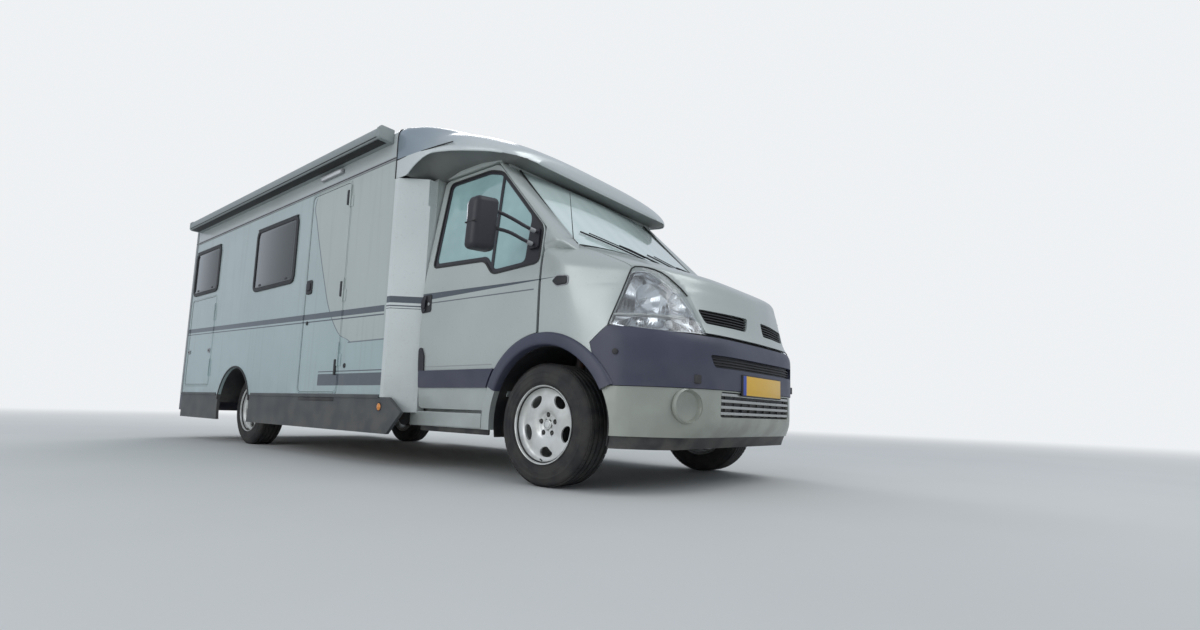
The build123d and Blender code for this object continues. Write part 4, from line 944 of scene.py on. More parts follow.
def front_at(angle, z):
    """The smoothed distance of the front body at any angle and height."""
    i = min(max((math.degrees(angle) + 90) / 180 * FRONT_STEPS, 0), FRONT_STEPS - 0.001)
    heights = FRONT_HEIGHTS
    z = min(max(z, heights[0]), heights[-1] - 1e-6)
    k = max(j for j in range(len(heights) - 1) if heights[j] <= z)
    t = (z - heights[k]) / (heights[k + 1] - heights[k])
    a, u = int(i), i - int(i)
    low, high = (row[a] * (1 - u) + row[a + 1] * u for row in FRONT_RADII[k:k + 2])
    return low * (1 - t) + high * t


def in_front(x, y, z):
    """True where a point is inside the smoothed front body."""
    return math.hypot(x - FRONT_REAR, y) <= front_at(math.atan2(y, x - FRONT_REAR), z)


def front_x(y, z):
    """How far ahead of the axle the front body is at a y and a height."""
    return reach(lambda x: in_front(x, y, z), -0.04, 0.9)


def front_y(x, z):
    """Half the front body's width at a distance ahead of the axle and a height."""
    x = max(x, -0.04)
    return reach(lambda y: in_front(x, y, z), 0.0, 1.1)


def front_z(x, y):
    """The height of the front body's top at a distance ahead of the axle and a y."""
    return reach(lambda z: in_front(x, y, z), 0.86, 1.49)


def front_skin(name, inset=0.0, thickness=0.02):
    """The front body's surface, moved in by an inset, with a wall."""
    rows = []
    for z, radii in zip(FRONT_HEIGHTS, FRONT_RADII):
        height = z - inset * smooth(z, 1.0, 1.3)
        row = []
        for angle, radius in zip(FRONT_ANGLES, radii):
            distance = max(radius - inset, 0.01)
            row.append((ahead(FRONT_REAR) + distance * math.cos(angle), distance * math.sin(angle), height))
        rows.append(row)
    return shell(surface(name, rows, (1, 0, 0.2)), thickness)


def side_cutter(outline):
    """A cutter across the whole cab from an outline in side view."""
    return plate("cutter", [(ahead(x), z) for x, z in outline], -1.2, 1.2)


def side_box(x_low, x_high, z_low, z_high):
    return side_cutter([(x_low, z_low), (x_high, z_low), (x_high, z_high), (x_low, z_high)])


def plan_cutter(outline, low, high):
    """A cutter from the left half of a plan outline of (distance ahead, y) points and its mirror image."""
    half = [(ahead(x), y) for x, y in outline]
    return plate("cutter", half + [(x, -y) for x, y in reversed(half)], low, high, "plan")


def front_cutter(outline, radius=0.02):
    """A cutter from a rounded outline of (y, height) points, through the front."""
    return plate("cutter", rounded(outline, radius), ahead(0.5), ahead(1.0), "front")


def arch_cutter(radius=ARCH_RADIUS):
    """A cutter round the front axle."""
    profile = [(-1.3, 0), (-1.3, radius), (1.3, radius), (1.3, 0)]
    return turned("cutter", profile, (FRONT_AXLE_X, 0, AXLE_Z), steps=96)


def fog_cutter(side):
    """A cutter for the fog lamp's recess on one side."""
    profile = [(-0.3, 0), (-0.3, 0.086), (0.3, 0.086), (0.3, 0)]
    return turned("cutter", profile, (ahead(0.74), side * 0.66, 0.47), (1, side * 0.35, 0))


def bonnet_outline(gap):
    """The bonnet's left edge in plan, moved out by a gap."""
    return [(x + 0.5 * gap, y + gap) for x, y in BONNET_EDGE]


def cowl_edge(y):
    """How far ahead of the axle the bonnet's rear edge is at a y."""
    return 0.07 + 0.075 * (1 - (y / 0.9) ** 2)


class CAMPER_OT_front_panels(bpy.types.Operator):
    """Cuts the bonnet, the wings, the bumper and the apron from one smooth surface"""

    bl_idname = "camper.front_panels"
    bl_label = "Front panels"

    def execute(self, context):
        skin = context.scene.camper_sizes.skin
        bonnet = kept_inside(front_skin("bonnet_panel", 0.0, skin), plan_cutter(bonnet_outline(0.0), 0.868, 1.7))
        rear = [(ahead(cowl_edge(y)), y) for y in [-0.9 + 0.06 * i for i in range(31)]]
        carve(bonnet, plate("cutter", rear + [(ahead(-0.3), 0.9), (ahead(-0.3), -0.9)], 1.2, 1.7, "plan"))
        slot = [(0.56, 1.002), (0.088, 1.008), (0.118, 0.924), (0.52, 0.926)]
        for side in (-1, 1):
            carve(bonnet, front_cutter([(side * y, z) for y, z in slot], 0.022))
        piece(finished(bonnet, "silver_paint"), "bonnet", ["bonnet"])

        wings = carve(
            front_skin("front_wing_panels", 0.0, skin),
            side_box(0.56, 1.0, 0.0, 1.8),
            arch_cutter(),
            plan_cutter(bonnet_outline(0.008), 0.3, 1.7),
            side_cutter(grown(LAMP_EDGE, 0.003)),
            side_cutter(grown(BUMPER_EDGE, 0.002)),
            side_box(0.38, 1.0, 0.0, 0.566),
            side_box(-0.2, WING_REAR, 0.3, 1.8),
        )
        piece(finished(wings, "cab_door_paint"), "vehicle", ["front_wings"])

        bumper = kept_inside(front_skin("bumper_panel", 0.003, skin), side_cutter(BUMPER_EDGE))
        slot = [(-0.552, 0.75), (-0.518, 0.682), (0.518, 0.682), (0.552, 0.75)]
        carve(bumper, arch_cutter(), front_cutter(slot))
        piece(finished(bumper, "slate_plastic"), "vehicle", ["front_bumper"])

        apron = kept_inside(front_skin("apron_panel", 0.009, skin), side_box(0.3, 1.0, 0.305, 0.563))
        intake = [(-0.462, 0.556), (-0.462, 0.418), (0.462, 0.418), (0.462, 0.556)]
        carve(apron, arch_cutter(), front_cutter(intake), fog_cutter(-1), fog_cutter(1))
        piece(finished(apron, "apron_paint"), "vehicle", ["front_apron"])

        valance = kept_inside(front_skin("valance", 0.018, 0.008), side_box(0.3, 1.0, 0.2, 0.325))
        piece(finished(carve(valance, arch_cutter()), "black_trim"), "vehicle")

        # painted shade: a black inner skin 3 cm inside the front body, so that the panel gaps and openings read as
        # shaded
        liner = carve(
            front_skin("gap_shade_sheet", 0.03, 0.004),
            plan_cutter([(-0.01, 0.72), (0.46, 0.79), (0.66, 0.58), (0.73, 0.52), (0.96, 0.5)], 0.86, 1.7),
            side_cutter(LAMP_EDGE),
            side_box(-0.2, WING_REAR, 0.3, 1.8),
            side_box(-0.1, 1.0, 0.0, 0.3),
            arch_cutter(),
            fog_cutter(-1),
            fog_cutter(1),
        )
        piece(finished(liner, "black_trim"), "vehicle")
        return {"FINISHED"}


class CAMPER_OT_grilles(bpy.types.Operator):
    """Fills the bonnet's and the bumper's openings with bars, and adds the plate, the fog lamp recesses and the plugs
    """

    bl_idname = "camper.grilles"
    bl_label = "Grilles"

    def band(self, name, y_low, y_high, z, half_height, depth, setback=0.006, steps=14):
        """A flat bar that follows the front at one height."""
        ys = [y_low + (y_high - y_low) * i / steps for i in range(steps + 1)]
        front = [(ahead(front_x(y, z) - setback), y) for y in ys]
        back = [(x - depth, y) for x, y in reversed(front)]
        return plate(name, front + back, z - half_height, z + half_height, "plan", min(half_height, 0.004) * 0.6)

    def execute(self, context):
        bar = context.scene.camper_sizes.bar
        bars = []
        for side in (-1, 1):
            for z in (0.94, 0.956, 0.972, 0.988):
                low, high = sorted((side * (0.092 + (0.998 - z) * 0.35), side * (0.555 - (0.998 - z) * 0.5)))
                add(bars, self.band("bar", low, high, z, 0.0035, 0.022, 0.008), "black_trim")
            low, high = sorted((side * 0.07, side * 0.575))
            add(bars, self.band("back", low, high, 0.965, 0.052, 0.006, 0.04), "seal_rubber")
        piece(joined("bonnet_grille", *bars), "bonnet")

        bars = []
        for z in (0.4395, 0.4735, 0.5075, 0.5415):
            add(bars, self.band("bar", -0.458, 0.458, z, bar, 0.03, 0.01), "bright_bars")
        for i in range(9):
            y = -0.4 + 0.1 * i
            x = ahead(front_x(y, 0.48))
            add(bars, block("rib", (x - 0.045, y - 0.004, 0.425), (x - 0.022, y + 0.004, 0.552), 0.001), "black_trim")
        for reach_out, z, half_height, depth, setback in (
            (0.49, 0.487, 0.085, 0.006, 0.05), (0.57, 0.716, 0.042, 0.006, 0.045), (0.6, 0.857, 0.01, 0.01, 0.034),
        ):
            add(bars, self.band("back", -reach_out, reach_out, z, half_height, depth, setback), "seal_rubber")
        for z in (0.7, 0.716, 0.732):
            reach_out = 0.5 + (z - 0.682) * 0.45
            add(bars, self.band("bar", -reach_out, reach_out, z, 0.0035, 0.02, 0.018), "black_trim")
        piece(joined("front_grilles", *bars), "vehicle")

        x = ahead(NOSE_X)
        parts = []
        add(parts, block("plate_holder", (x - 0.012, -0.268, 0.538), (x - 0.002, 0.268, 0.662), 0.003), "black_trim")
        add(parts, block("plate", (x - 0.0025, -0.26, 0.546), (x - 0.0002, 0.26, 0.656), 0.0009), "plate_yellow")
        piece(joined("front_plate", *parts), "vehicle")

        cup = [
            (-0.07, 0.0), (-0.07, 0.058), (-0.062, 0.066), (-0.012, 0.078), (0.006, 0.087), (-0.002, 0.094),
            (-0.014, 0.094),
        ]
        bowl = [(-0.045, 0.0), (-0.045, 0.06), (-0.014, 0.0775), (-0.022, 0.055), (-0.028, 0.03), (-0.03, 0.0)]
        plug = [(-0.012, 0.0), (-0.012, 0.016), (0.0015, 0.016), (0.003, 0.012), (0.003, 0)]
        for side, label in ((-1, "right"), (1, "left")):
            axis = Vector((1, side * 0.35, 0)).normalized()
            centre = Vector((ahead(0.752), side * 0.664, 0.47))
            parts = []
            add(parts, shell(turned("cup", cup, centre, axis), 0.002), "apron_paint")
            add(parts, turned("bowl", bowl, centre, axis), "apron_paint")
            piece(joined(f"{label}_fog_recess", *parts), "vehicle")
            x = ahead(front_x(0.62, 0.614))
            low, high = sorted((side * 0.597, side * 0.643))
            place = (ahead(0.473), side * (front_y(0.473, 0.742) + 0.003), 0.742)
            parts = []
            add(parts, block("tow_cover", (x - 0.03, low, 0.591), (x + 0.0045, high, 0.637), 0.004), "black_trim")
            add(parts, turned("plug", plug, place, (0.42, side, 0), 24), "black_trim")
            piece(joined(f"{label}_bumper_plugs", *parts), "vehicle")
        return {"FINISHED"}


def spread(low, high, count):
    """Even steps from one value to another, both included."""
    return [low + (high - low) * i / count for i in range(count + 1)]


class CAMPER_OT_headlamps(bpy.types.Operator):
    """Builds the headlamps: glass, bowl, reflectors, bulbs and seal"""

    bl_idname = "camper.headlamps"
    bl_label = "Headlamps"

    def edge(self):
        """Points round the right lamp's opening, on the front body."""
        points = [(x, front_y(x, z), z) for x, z in zip(spread(0.432, 0.492, 10), spread(0.89, 1.185, 10))]
        for (a, b), (c, d) in zip(BONNET_EDGE[1:4], BONNET_EDGE[2:5]):
            for t in spread(0, 1, 6)[:-1]:
                x, y = a + (c - a) * t + 0.014, b + (d - b) * t + 0.014
                points.append((x, y, min(front_z(x, y) - 0.004, 1.19)))
        low = 0.861
        start = max(0.55, min(points[-1][1], 0.6))
        for y in spread(start, 0.9, 9):
            points.append((front_x(y, low), y, low + 0.01 * smooth(y, 0.8, 0.95)))
        return points

    def bowl(self):
        """The lamp's bright inside, from its opening inwards."""
        loop = self.edge()
        middle = Vector([sum(p[i] for p in loop) / len(loop) for i in range(3)])
        inward = (Vector((FRONT_REAR - 0.1, 0.25, middle[2])) - middle).normalized()
        rows = []
        for size, depth in ((0.99, 0.008), (0.985, 0.045), (0.95, 0.085), (0.8, 0.105), (0.45, 0.112), (0.02, 0.114)):
            row = []
            for point in loop:
                place = middle + (Vector(point) - middle) * size + inward * depth
                row.append((ahead(place[0]), -place[1], place[2]))
            rows.append(row + [row[0]])
        return shell(editing(surface("bowl", rows, (1, -1, 0)), merge), 0.002)

    def execute(self, context):
        lens = kept_inside(front_skin("lens", 0.001, 0.004), side_cutter(grown(LAMP_EDGE, -0.002)))
        carve(lens, plan_cutter(bonnet_outline(0.01), 0.3, 1.7))
        piece(finished(lens, "lamp_glass"), "vehicle", ["headlamps"])
        lens.name = "headlamp_lenses"

        parts = [finished(self.bowl(), "reflector_chrome")]
        for x, y, z, size, lean in ((0.565, 0.8, 1.045, 0.07, -0.55), (0.655, 0.665, 1.02, 0.058, -0.35)):
            axis = Vector((1, lean, 0.12)).normalized()
            centre = Vector((ahead(front_x(y, z)), -y, z)) - axis * 0.02
            dish = [(-0.002 - size * 0.75 * (1 - (k / 8) ** 2), size * k / 8) for k in range(9)]
            dish = turned("dish", dish + [(0.004, size + 0.004)], centre, axis, 40)
            add(parts, shell(dish, 0.0015), "reflector_chrome")
            bulb = [(-size * 0.75, 0.0), (-size * 0.75, 0.01), (-0.03, 0.01), (-0.018, 0.008), (-0.012, 0.0)]
            add(parts, turned("bulb", bulb, centre, axis, 20), "clear_lens")
        shelf = [(ahead(front_x(y, 0.945) - 0.01), -y) for y in spread(0.63, 0.93, 10)]
        back = [(x - 0.055, y + 0.03) for x, y in reversed(shelf)]
        add(parts, plate("shelf", shelf + back, 0.938, 0.95, "plan", 0.002), "bright_bars")
        bulb = [(-0.02, 0.0), (-0.02, 0.019), (0.004, 0.022), (0.014, 0.012), (0.016, 0.0)]
        for y, finish in ((0.72, "clear_lens"), (0.84, "reflector_chrome")):
            centre = (ahead(front_x(y, 0.9) - 0.03), -y, 0.9)
            add(parts, turned("bulb", bulb, centre, (1, -0.5, 0), 24), finish)
        line = [(x, front_y(x, z) - 0.001, z) for x, z in zip(spread(0.425, 0.49, 12), spread(0.882, 1.2, 12))]
        line += [(x, y + 0.006, front_z(x, y + 0.006)) for x, y in zip(spread(0.5, 0.7, 8), spread(0.818, 0.6, 8))]
        add(parts, tube("seal", [(ahead(x), -y, z) for x, y, z in line], 0.004), "seal_rubber")
        both_sides(joined("headlamp_insides", *parts), "headlamp_insides")
        return {"FINISHED"}


# The right cab door, its window frame and its pane, as (distance ahead of the axle, height)
DOOR_EDGE = (
    (-1.204, 0.412), (-1.204, 2.058), (-0.622, 2.058), (-0.064, 1.5), (-0.064, 0.3), (-0.5, 0.3), (-0.5, 0.412),
)
DOOR_FRAME = (
    (-1.138, 1.384), (-1.138, 2.03), (-0.7, 2.03), (-0.565, 1.989), (-0.082, 1.506), (-0.076, 1.28), (-0.488, 1.258),
    (-0.582, 1.36),
)
DOOR_PANE = (
    (-1.106, 1.414), (-1.106, 2.004), (-0.7, 2.004), (-0.572, 1.965), (-0.205, 1.598), (-0.205, 1.304), (-0.478, 1.29),
    (-0.566, 1.39),
)


def door_y(x, z):
    """Half the width over the cab doors; their front edge runs into the wings."""
    base = along(DOOR_PROFILE, z)
    if z > 1.44:
        return base
    drop = base - min(front_y(-0.03, min(z, 1.4)) + 0.002, base)
    return base - drop * smooth(x, -0.42, -0.08) * (1 - smooth(z, 1.27, 1.36))


def door_skin(name, inset, thickness, outline, grow, radius):
    """The part of the right door's surface in an outline, moved in by an inset, with a wall."""
    rows = []
    for z in spread(0.385, 2.075, 65):
        rows.append([(ahead(x), -(door_y(x, z) - inset), z) for x in spread(-1.23, -0.03, 24)])
    return kept_inside(shell(surface(name, rows, (0, -1, 0)), thickness), door_cutter(outline, grow, radius))


def door_cutter(outline, grow, radius):
    """A cutter from an outline in side view, with its corners rounded, then moved out."""
    points = rounded(outline, radius)
    return side_cutter(grown(points, grow) if grow else points)


def round_axle(sizes, low, high, centre_x):
    """Rows of an arch liner about an axle from (y, radius) pairs and an angle's limits in degrees."""
    return [
        [
            (centre_x + size * math.cos(math.radians(a)), -y, AXLE_Z + size * math.sin(math.radians(a)))
            for a in spread(low, high, 60)
        ]
        for y, size in sizes
    ]


class CAMPER_OT_arches(bpy.types.Operator):
    """Adds the slate arch flares, the black arch liners and the sills"""

    bl_idname = "camper.arches"
    bl_label = "Arches"

    def execute(self, context):
        section = (
            (0.519, -0.006), (0.519, 0.006), (0.514, 0.012), (0.5, 0.015), (0.462, 0.0175), (0.451, 0.015),
            (0.446, 0.006), (0.4455, -0.045),
        )
        rows = []
        for degrees in spread(26, 155.5, 52):
            angle = math.radians(degrees)
            row = []
            for radius, proud in section:
                x, z = radius * math.cos(angle), AXLE_Z + radius * math.sin(angle)
                side = front_y(x, z) if x > -0.04 else along(DOOR_PROFILE, z)
                row.append((ahead(x), -(side + proud), z))
            rows.append(row)
        flare = shell(surface("arch_flare", rows, (0, -1, 0)), 0.003)
        both_sides(finished(flare, "slate_plastic", 50), "arch_flare")

        front = [(0.468, 0.05)] + [(y, 0.4465) for y in (0.47, 0.55, 0.65, 0.75, 0.85, 0.945)]
        rear = [(0.706, 0.05)] + [(y, 0.3925) for y in (0.708, 0.8, 0.92, 1.04, 1.112)]
        for name, rows, thickness in (
            ("arch_liner", round_axle(front, -12, 192, FRONT_AXLE_X), 0.004),
            ("rear_arch_liner", round_axle(rear, 8, 172, REAR_AXLE_X), 0.003),
        ):
            liner = modify(surface(name, rows, (0, 0, -1)), "SOLIDIFY", thickness=thickness, offset=1)
            both_sides(finished(liner, "black_trim"), name)

        parts = []
        cover = oblong(ahead(-1.19), ahead(-0.47), 0.3, 0.392, 0.012)
        add(parts, plate("cover", cover, -0.984, -0.972, "side", 0.003), "silver_paint")
        low, high = (ahead(-0.52), -0.9855, 0.304), (ahead(-0.516), -0.98, 0.39)
        add(parts, block("seam", low, high, 0.0005), "seal_rubber")
        foot = oblong(ahead(-1.18), ahead(-0.47), 0.262, 0.3, 0.01)
        add(parts, plate("foot", foot, -0.96, -0.948, "side", 0.002), "black_trim")
        both_sides(joined("sill", *parts), "sill")

        shape = rounded([(0.05, 1.152), (0.084, 1.178), (0.162, 1.17), (0.162, 1.126), (0.084, 1.124)], 0.012)
        wing = front_y(0.11, 1.15)
        parts = []
        repeater = plate("repeater", shape, 0, 0.016, "side", 0.004)
        add(parts, moved(repeater, (FRONT_AXLE_X, -wing - 0.01, 0)), "black_trim")
        ring = plate("ring", grown(shape, 0.007), 0, 0.012, "side", 0.003)
        add(parts, moved(ring, (FRONT_AXLE_X, -wing - 0.002, 0)), "frame_grey")
        both_sides(joined("side_repeater", *parts), "side_repeater")
        return {"FINISHED"}


class CAMPER_OT_cab_doors(bpy.types.Operator):
    """Builds the cab doors with their windows, handles, cladding and mirrors"""

    bl_idname = "camper.cab_doors"
    bl_label = "Cab doors"

    def trim(self):
        """The window's band, seal and divider, the mouldings, the grip and the inside of the right door."""
        parts = []
        band = door_skin("band", 0.003, 0.03, DOOR_FRAME, -0.0005, 0.045)
        add(parts, carve(band, door_cutter(DOOR_PANE, 0, 0.035)), "mirror_plastic")
        lip = door_skin("lip", -0.003, 0.008, DOOR_FRAME, 0.004, 0.045)
        add(parts, carve(lip, door_cutter(DOOR_FRAME, -0.009, 0.04)), "seal_rubber")
        clad = [(-1.192, 0.55), (-1.192, 0.666), (-0.3, 0.666), (-0.3, 0.55)]
        clad = door_skin("clad", -0.013, 0.014, clad, 0, 0.012)
        add(parts, carve(clad, arch_cutter(0.526)), "slate_plastic")
        strips = (
            ("divider", 0.002, 0.018, "mirror_plastic", 0.003,
             [(-0.563, 1.99), (-0.539, 1.99), (-0.49, 1.3), (-0.514, 1.3)]),
            ("base", -0.012, 0.018, "mirror_plastic", 0.02,
             [(-0.185, 1.375), (-0.185, 1.515), (-0.105, 1.5), (-0.092, 1.375)]),
            ("crease", -0.0012, 0.003, "frame_grey", 0.001,
             [(-1.165, 0.69), (-1.165, 0.695), (-0.44, 0.695), (-0.44, 0.69)]),
            ("cap", -0.01, 0.012, "mirror_plastic", 0.02,
             [(-1.198, 0.652), (-1.198, 0.818), (-1.165, 0.828), (-1.136, 0.772), (-1.136, 0.652)]),
            ("surround", -0.004, 0.006, "black_trim", 0.02,
             [(-1.2, 1.064), (-1.2, 1.19), (-1.1, 1.194), (-1.092, 1.07)]),
            ("grip", -0.012, 0.012, "mirror_plastic", 0.014,
             [(-1.194, 1.074), (-1.194, 1.182), (-1.15, 1.186), (-1.15, 1.074)]),
            ("grip", -0.018, 0.012, "mirror_plastic", 0.014,
             [(-1.194, 1.096), (-1.194, 1.16), (-1.15, 1.164), (-1.15, 1.096)]),
        )
        for name, inset, thickness, finish, radius, outline in strips:
            add(parts, door_skin(name, inset, thickness, outline, 0, radius), finish)
        key = [(0.0, 0.011), (0.005, 0.011), (0.006, 0.007), (0.006, 0.0)]
        place = (ahead(-1.12), -(door_y(-1.12, 1.125) + 0.003), 1.125)
        add(parts, turned("key", key, place, (0, -1, 0), 24), "bright_bars")
        card = [
            (-1.17, 0.47), (-1.17, 1.35), (-0.56, 1.32), (-0.47, 1.23), (-0.14, 1.24), (-0.14, 0.9), (-0.52, 0.47),
        ]
        card = door_skin("card", 0.043, 0.006, card, 0, 0.05)
        add(parts, carve(card, arch_cutter(0.56)), "dash_plastic")
        add(parts, block("rest", (ahead(-1.02), -0.944, 0.99), (ahead(-0.42), -0.905, 1.04), 0.014), "dash_plastic")
        return joined("door_trim", *parts)

    def mirror(self):
        """The right mirror with its two arms."""
        parts = []
        low, high = (ahead(-0.292), -1.368, 1.308), (ahead(-0.188), -1.196, 1.612)
        housing = block("housing", low, high, 0.034, 6)
        for vertex in housing.data.vertices:
            x, y, z = vertex.co
            up = (z - 1.46) / 0.152
            out = (y + 1.282) / 0.086
            vertex.co.x = x + 0.012 * up - 0.01 * abs(out) ** 2 * (1 if x > ahead(-0.24) else 0)
            vertex.co.z = z + 0.012 * out * (1 if up > 0 else 0.6)
        add(parts, housing, "mirror_plastic")
        glass = oblong(-1.35, -1.214, 1.33, 1.588, 0.026)
        add(parts, plate("glass", glass, ahead(-0.298), ahead(-0.29), "front", 0.002), "reflector_chrome")
        seam = [oblong(-1.3695, -1.1945, 1.448, 1.456, 0.003), oblong(-1.3, -1.25, 1.45, 1.454, 0.001)]
        add(parts, plate("seam", seam, ahead(-0.285), ahead(-0.2), "front"), "seal_rubber")
        for x, z, outer_z in ((-0.118, 1.476, 1.558), (-0.138, 1.401, 1.462)):
            route = (
                (x, -0.955, z), (x - 0.012, -1.02, z + 0.004), (x - 0.06, -1.11, z + 0.05), (x - 0.11, -1.18, outer_z),
                (x - 0.115, -1.225, outer_z),
            )
            ferrule = ((x - 0.004, -0.985, z), (x - 0.012, -1.018, z + 0.005))
            arm = tube("arm", [(ahead(a), b, c) for a, b, c in route], 0.0105, kind="NURBS")
            add(parts, arm, "mirror_plastic")
            add(parts, tube("ferrule", [(ahead(a), b, c) for a, b, c in ferrule], 0.0135), "frame_grey")
        return joined("door_mirror", *parts)

    def execute(self, context):
        doors = ("right_cab_door", "left_cab_door")
        door = door_skin("door", 0.0, 0.042, DOOR_EDGE, 0, 0.045)
        carve(door, door_cutter(DOOR_FRAME, 0, 0.045), arch_cutter(0.5245))
        pane = door_skin("pane", 0.008, 0.004, DOOR_PANE, 0.004, 0.035)
        panes = (["right_door_glass"], ["left_door_glass"])
        both_sides(finished(door, "cab_door_paint"), "door_panel", doors, ([doors[0]], [doors[1]]))
        both_sides(self.trim(), "door_trim", doors)
        both_sides(finished(pane, "cab_glass"), "door_pane", doors, panes)
        both_sides(self.mirror(), "door_mirror", doors)
        return {"FINISHED"}


SCREEN_FOOT = 1.405


def screen_x(y, z, off=0.0):
    """How far ahead of the axle the windscreen's outside is, moved out by an amount."""
    return 0.059 + 0.055 * (1 - (y / 0.79) ** 2) - (z - SCREEN_FOOT) + off


class CAMPER_OT_screen_trim(bpy.types.Operator):
    """Adds the cowl, the wipers, the seals and the aerial round the windscreen"""

    bl_idname = "camper.screen_trim"
    bl_label = "Windscreen trim"

    def execute(self, context):
        rows = []
        for y in spread(-0.8, 0.8, 40):
            edge = cowl_edge(y)
            top = front_z(min(edge, 0.3), abs(y)) - 0.01
            foot = screen_x(y, 1.43, 0.006)
            section = (
                (edge + 0.004, top - 0.012), (edge - 0.012, top - 0.002), ((edge + foot) / 2, top - 0.006),
                (foot, max(1.424, top - 0.004)),
            )
            rows.append([(ahead(x), y, z) for x, z in section])
        parts = []
        add(parts, shell(surface("cowl", rows, (0, 0, 1)), 0.004), "black_trim")
        for side in (-1, 1):
            line = []
            for z in spread(1.42, 2.04, 12):
                x = screen_x(0.79, z, 0.004) if z < 1.43 else -0.002 - (z - 1.453) * 0.945
                line.append((ahead(x), side * (0.797 - (z - SCREEN_FOOT) * 0.108), z))
            add(parts, tube("seal", line, 0.0065), "seal_rubber")
        hub = [(-0.012, 0.0), (-0.012, 0.014), (0.01, 0.012), (0.014, 0.0)]
        for start, end, pivot in ((-0.66, -0.06, 0.02), (0.02, 0.66, 0.66)):
            places = zip(spread(start, end, 10), spread(1.545, 1.462, 10))
            blade = [(ahead(screen_x(y, z, 0.013)), y, z) for y, z in places]
            add(parts, tube("blade", blade, 0.005), "seal_rubber")
            spine = [(x + 0.006, y, z + 0.01) for x, y, z in blade[1:-1]]
            add(parts, tube("spine", spine, 0.0035), "black_trim")
            x, y, z = blade[5]
            route = [
                (ahead(0.105), pivot, 1.442), (ahead(0.1), pivot - 0.03, 1.462), (x + 0.022, y + 0.1, z + 0.006),
                (x + 0.012, y, z + 0.012),
            ]
            add(parts, tube("wiper_arm", route, 0.0065, taper=0.7), "black_trim")
            add(parts, turned("pivot", hub, (ahead(0.103), pivot, 1.444), (0.5, 0, 1), 20), "black_trim")
        aerial = [(ahead(0.024), -0.8, 1.425), (ahead(-0.024), -0.8, 1.748)]
        add(parts, tube("aerial", aerial, 0.0032, taper=0.5), "black_trim")
        foot = [(-0.01, 0.0), (-0.01, 0.014), (0.012, 0.008), (0.016, 0.0)]
        add(parts, turned("foot", foot, (ahead(0.026), -0.8, 1.432), (-0.1, 0, 1), 20), "black_trim")
        piece(joined("screen_trim", *parts), "vehicle")
        return {"FINISHED"}


TREAD_RADIUS = 0.344
TREAD_LUGS = 76
SCOOPS = 5
BOLT_CIRCLE = 0.056  # the radius that the wheel bolts stand at


WHEELS = (  # name, axle and middle of the tyre
    ("front_right", FRONT_AXLE_X, -0.87), ("front_left", FRONT_AXLE_X, 0.87),
    ("rear_right", REAR_AXLE_X, -0.862), ("rear_left", REAR_AXLE_X, 0.862),
)


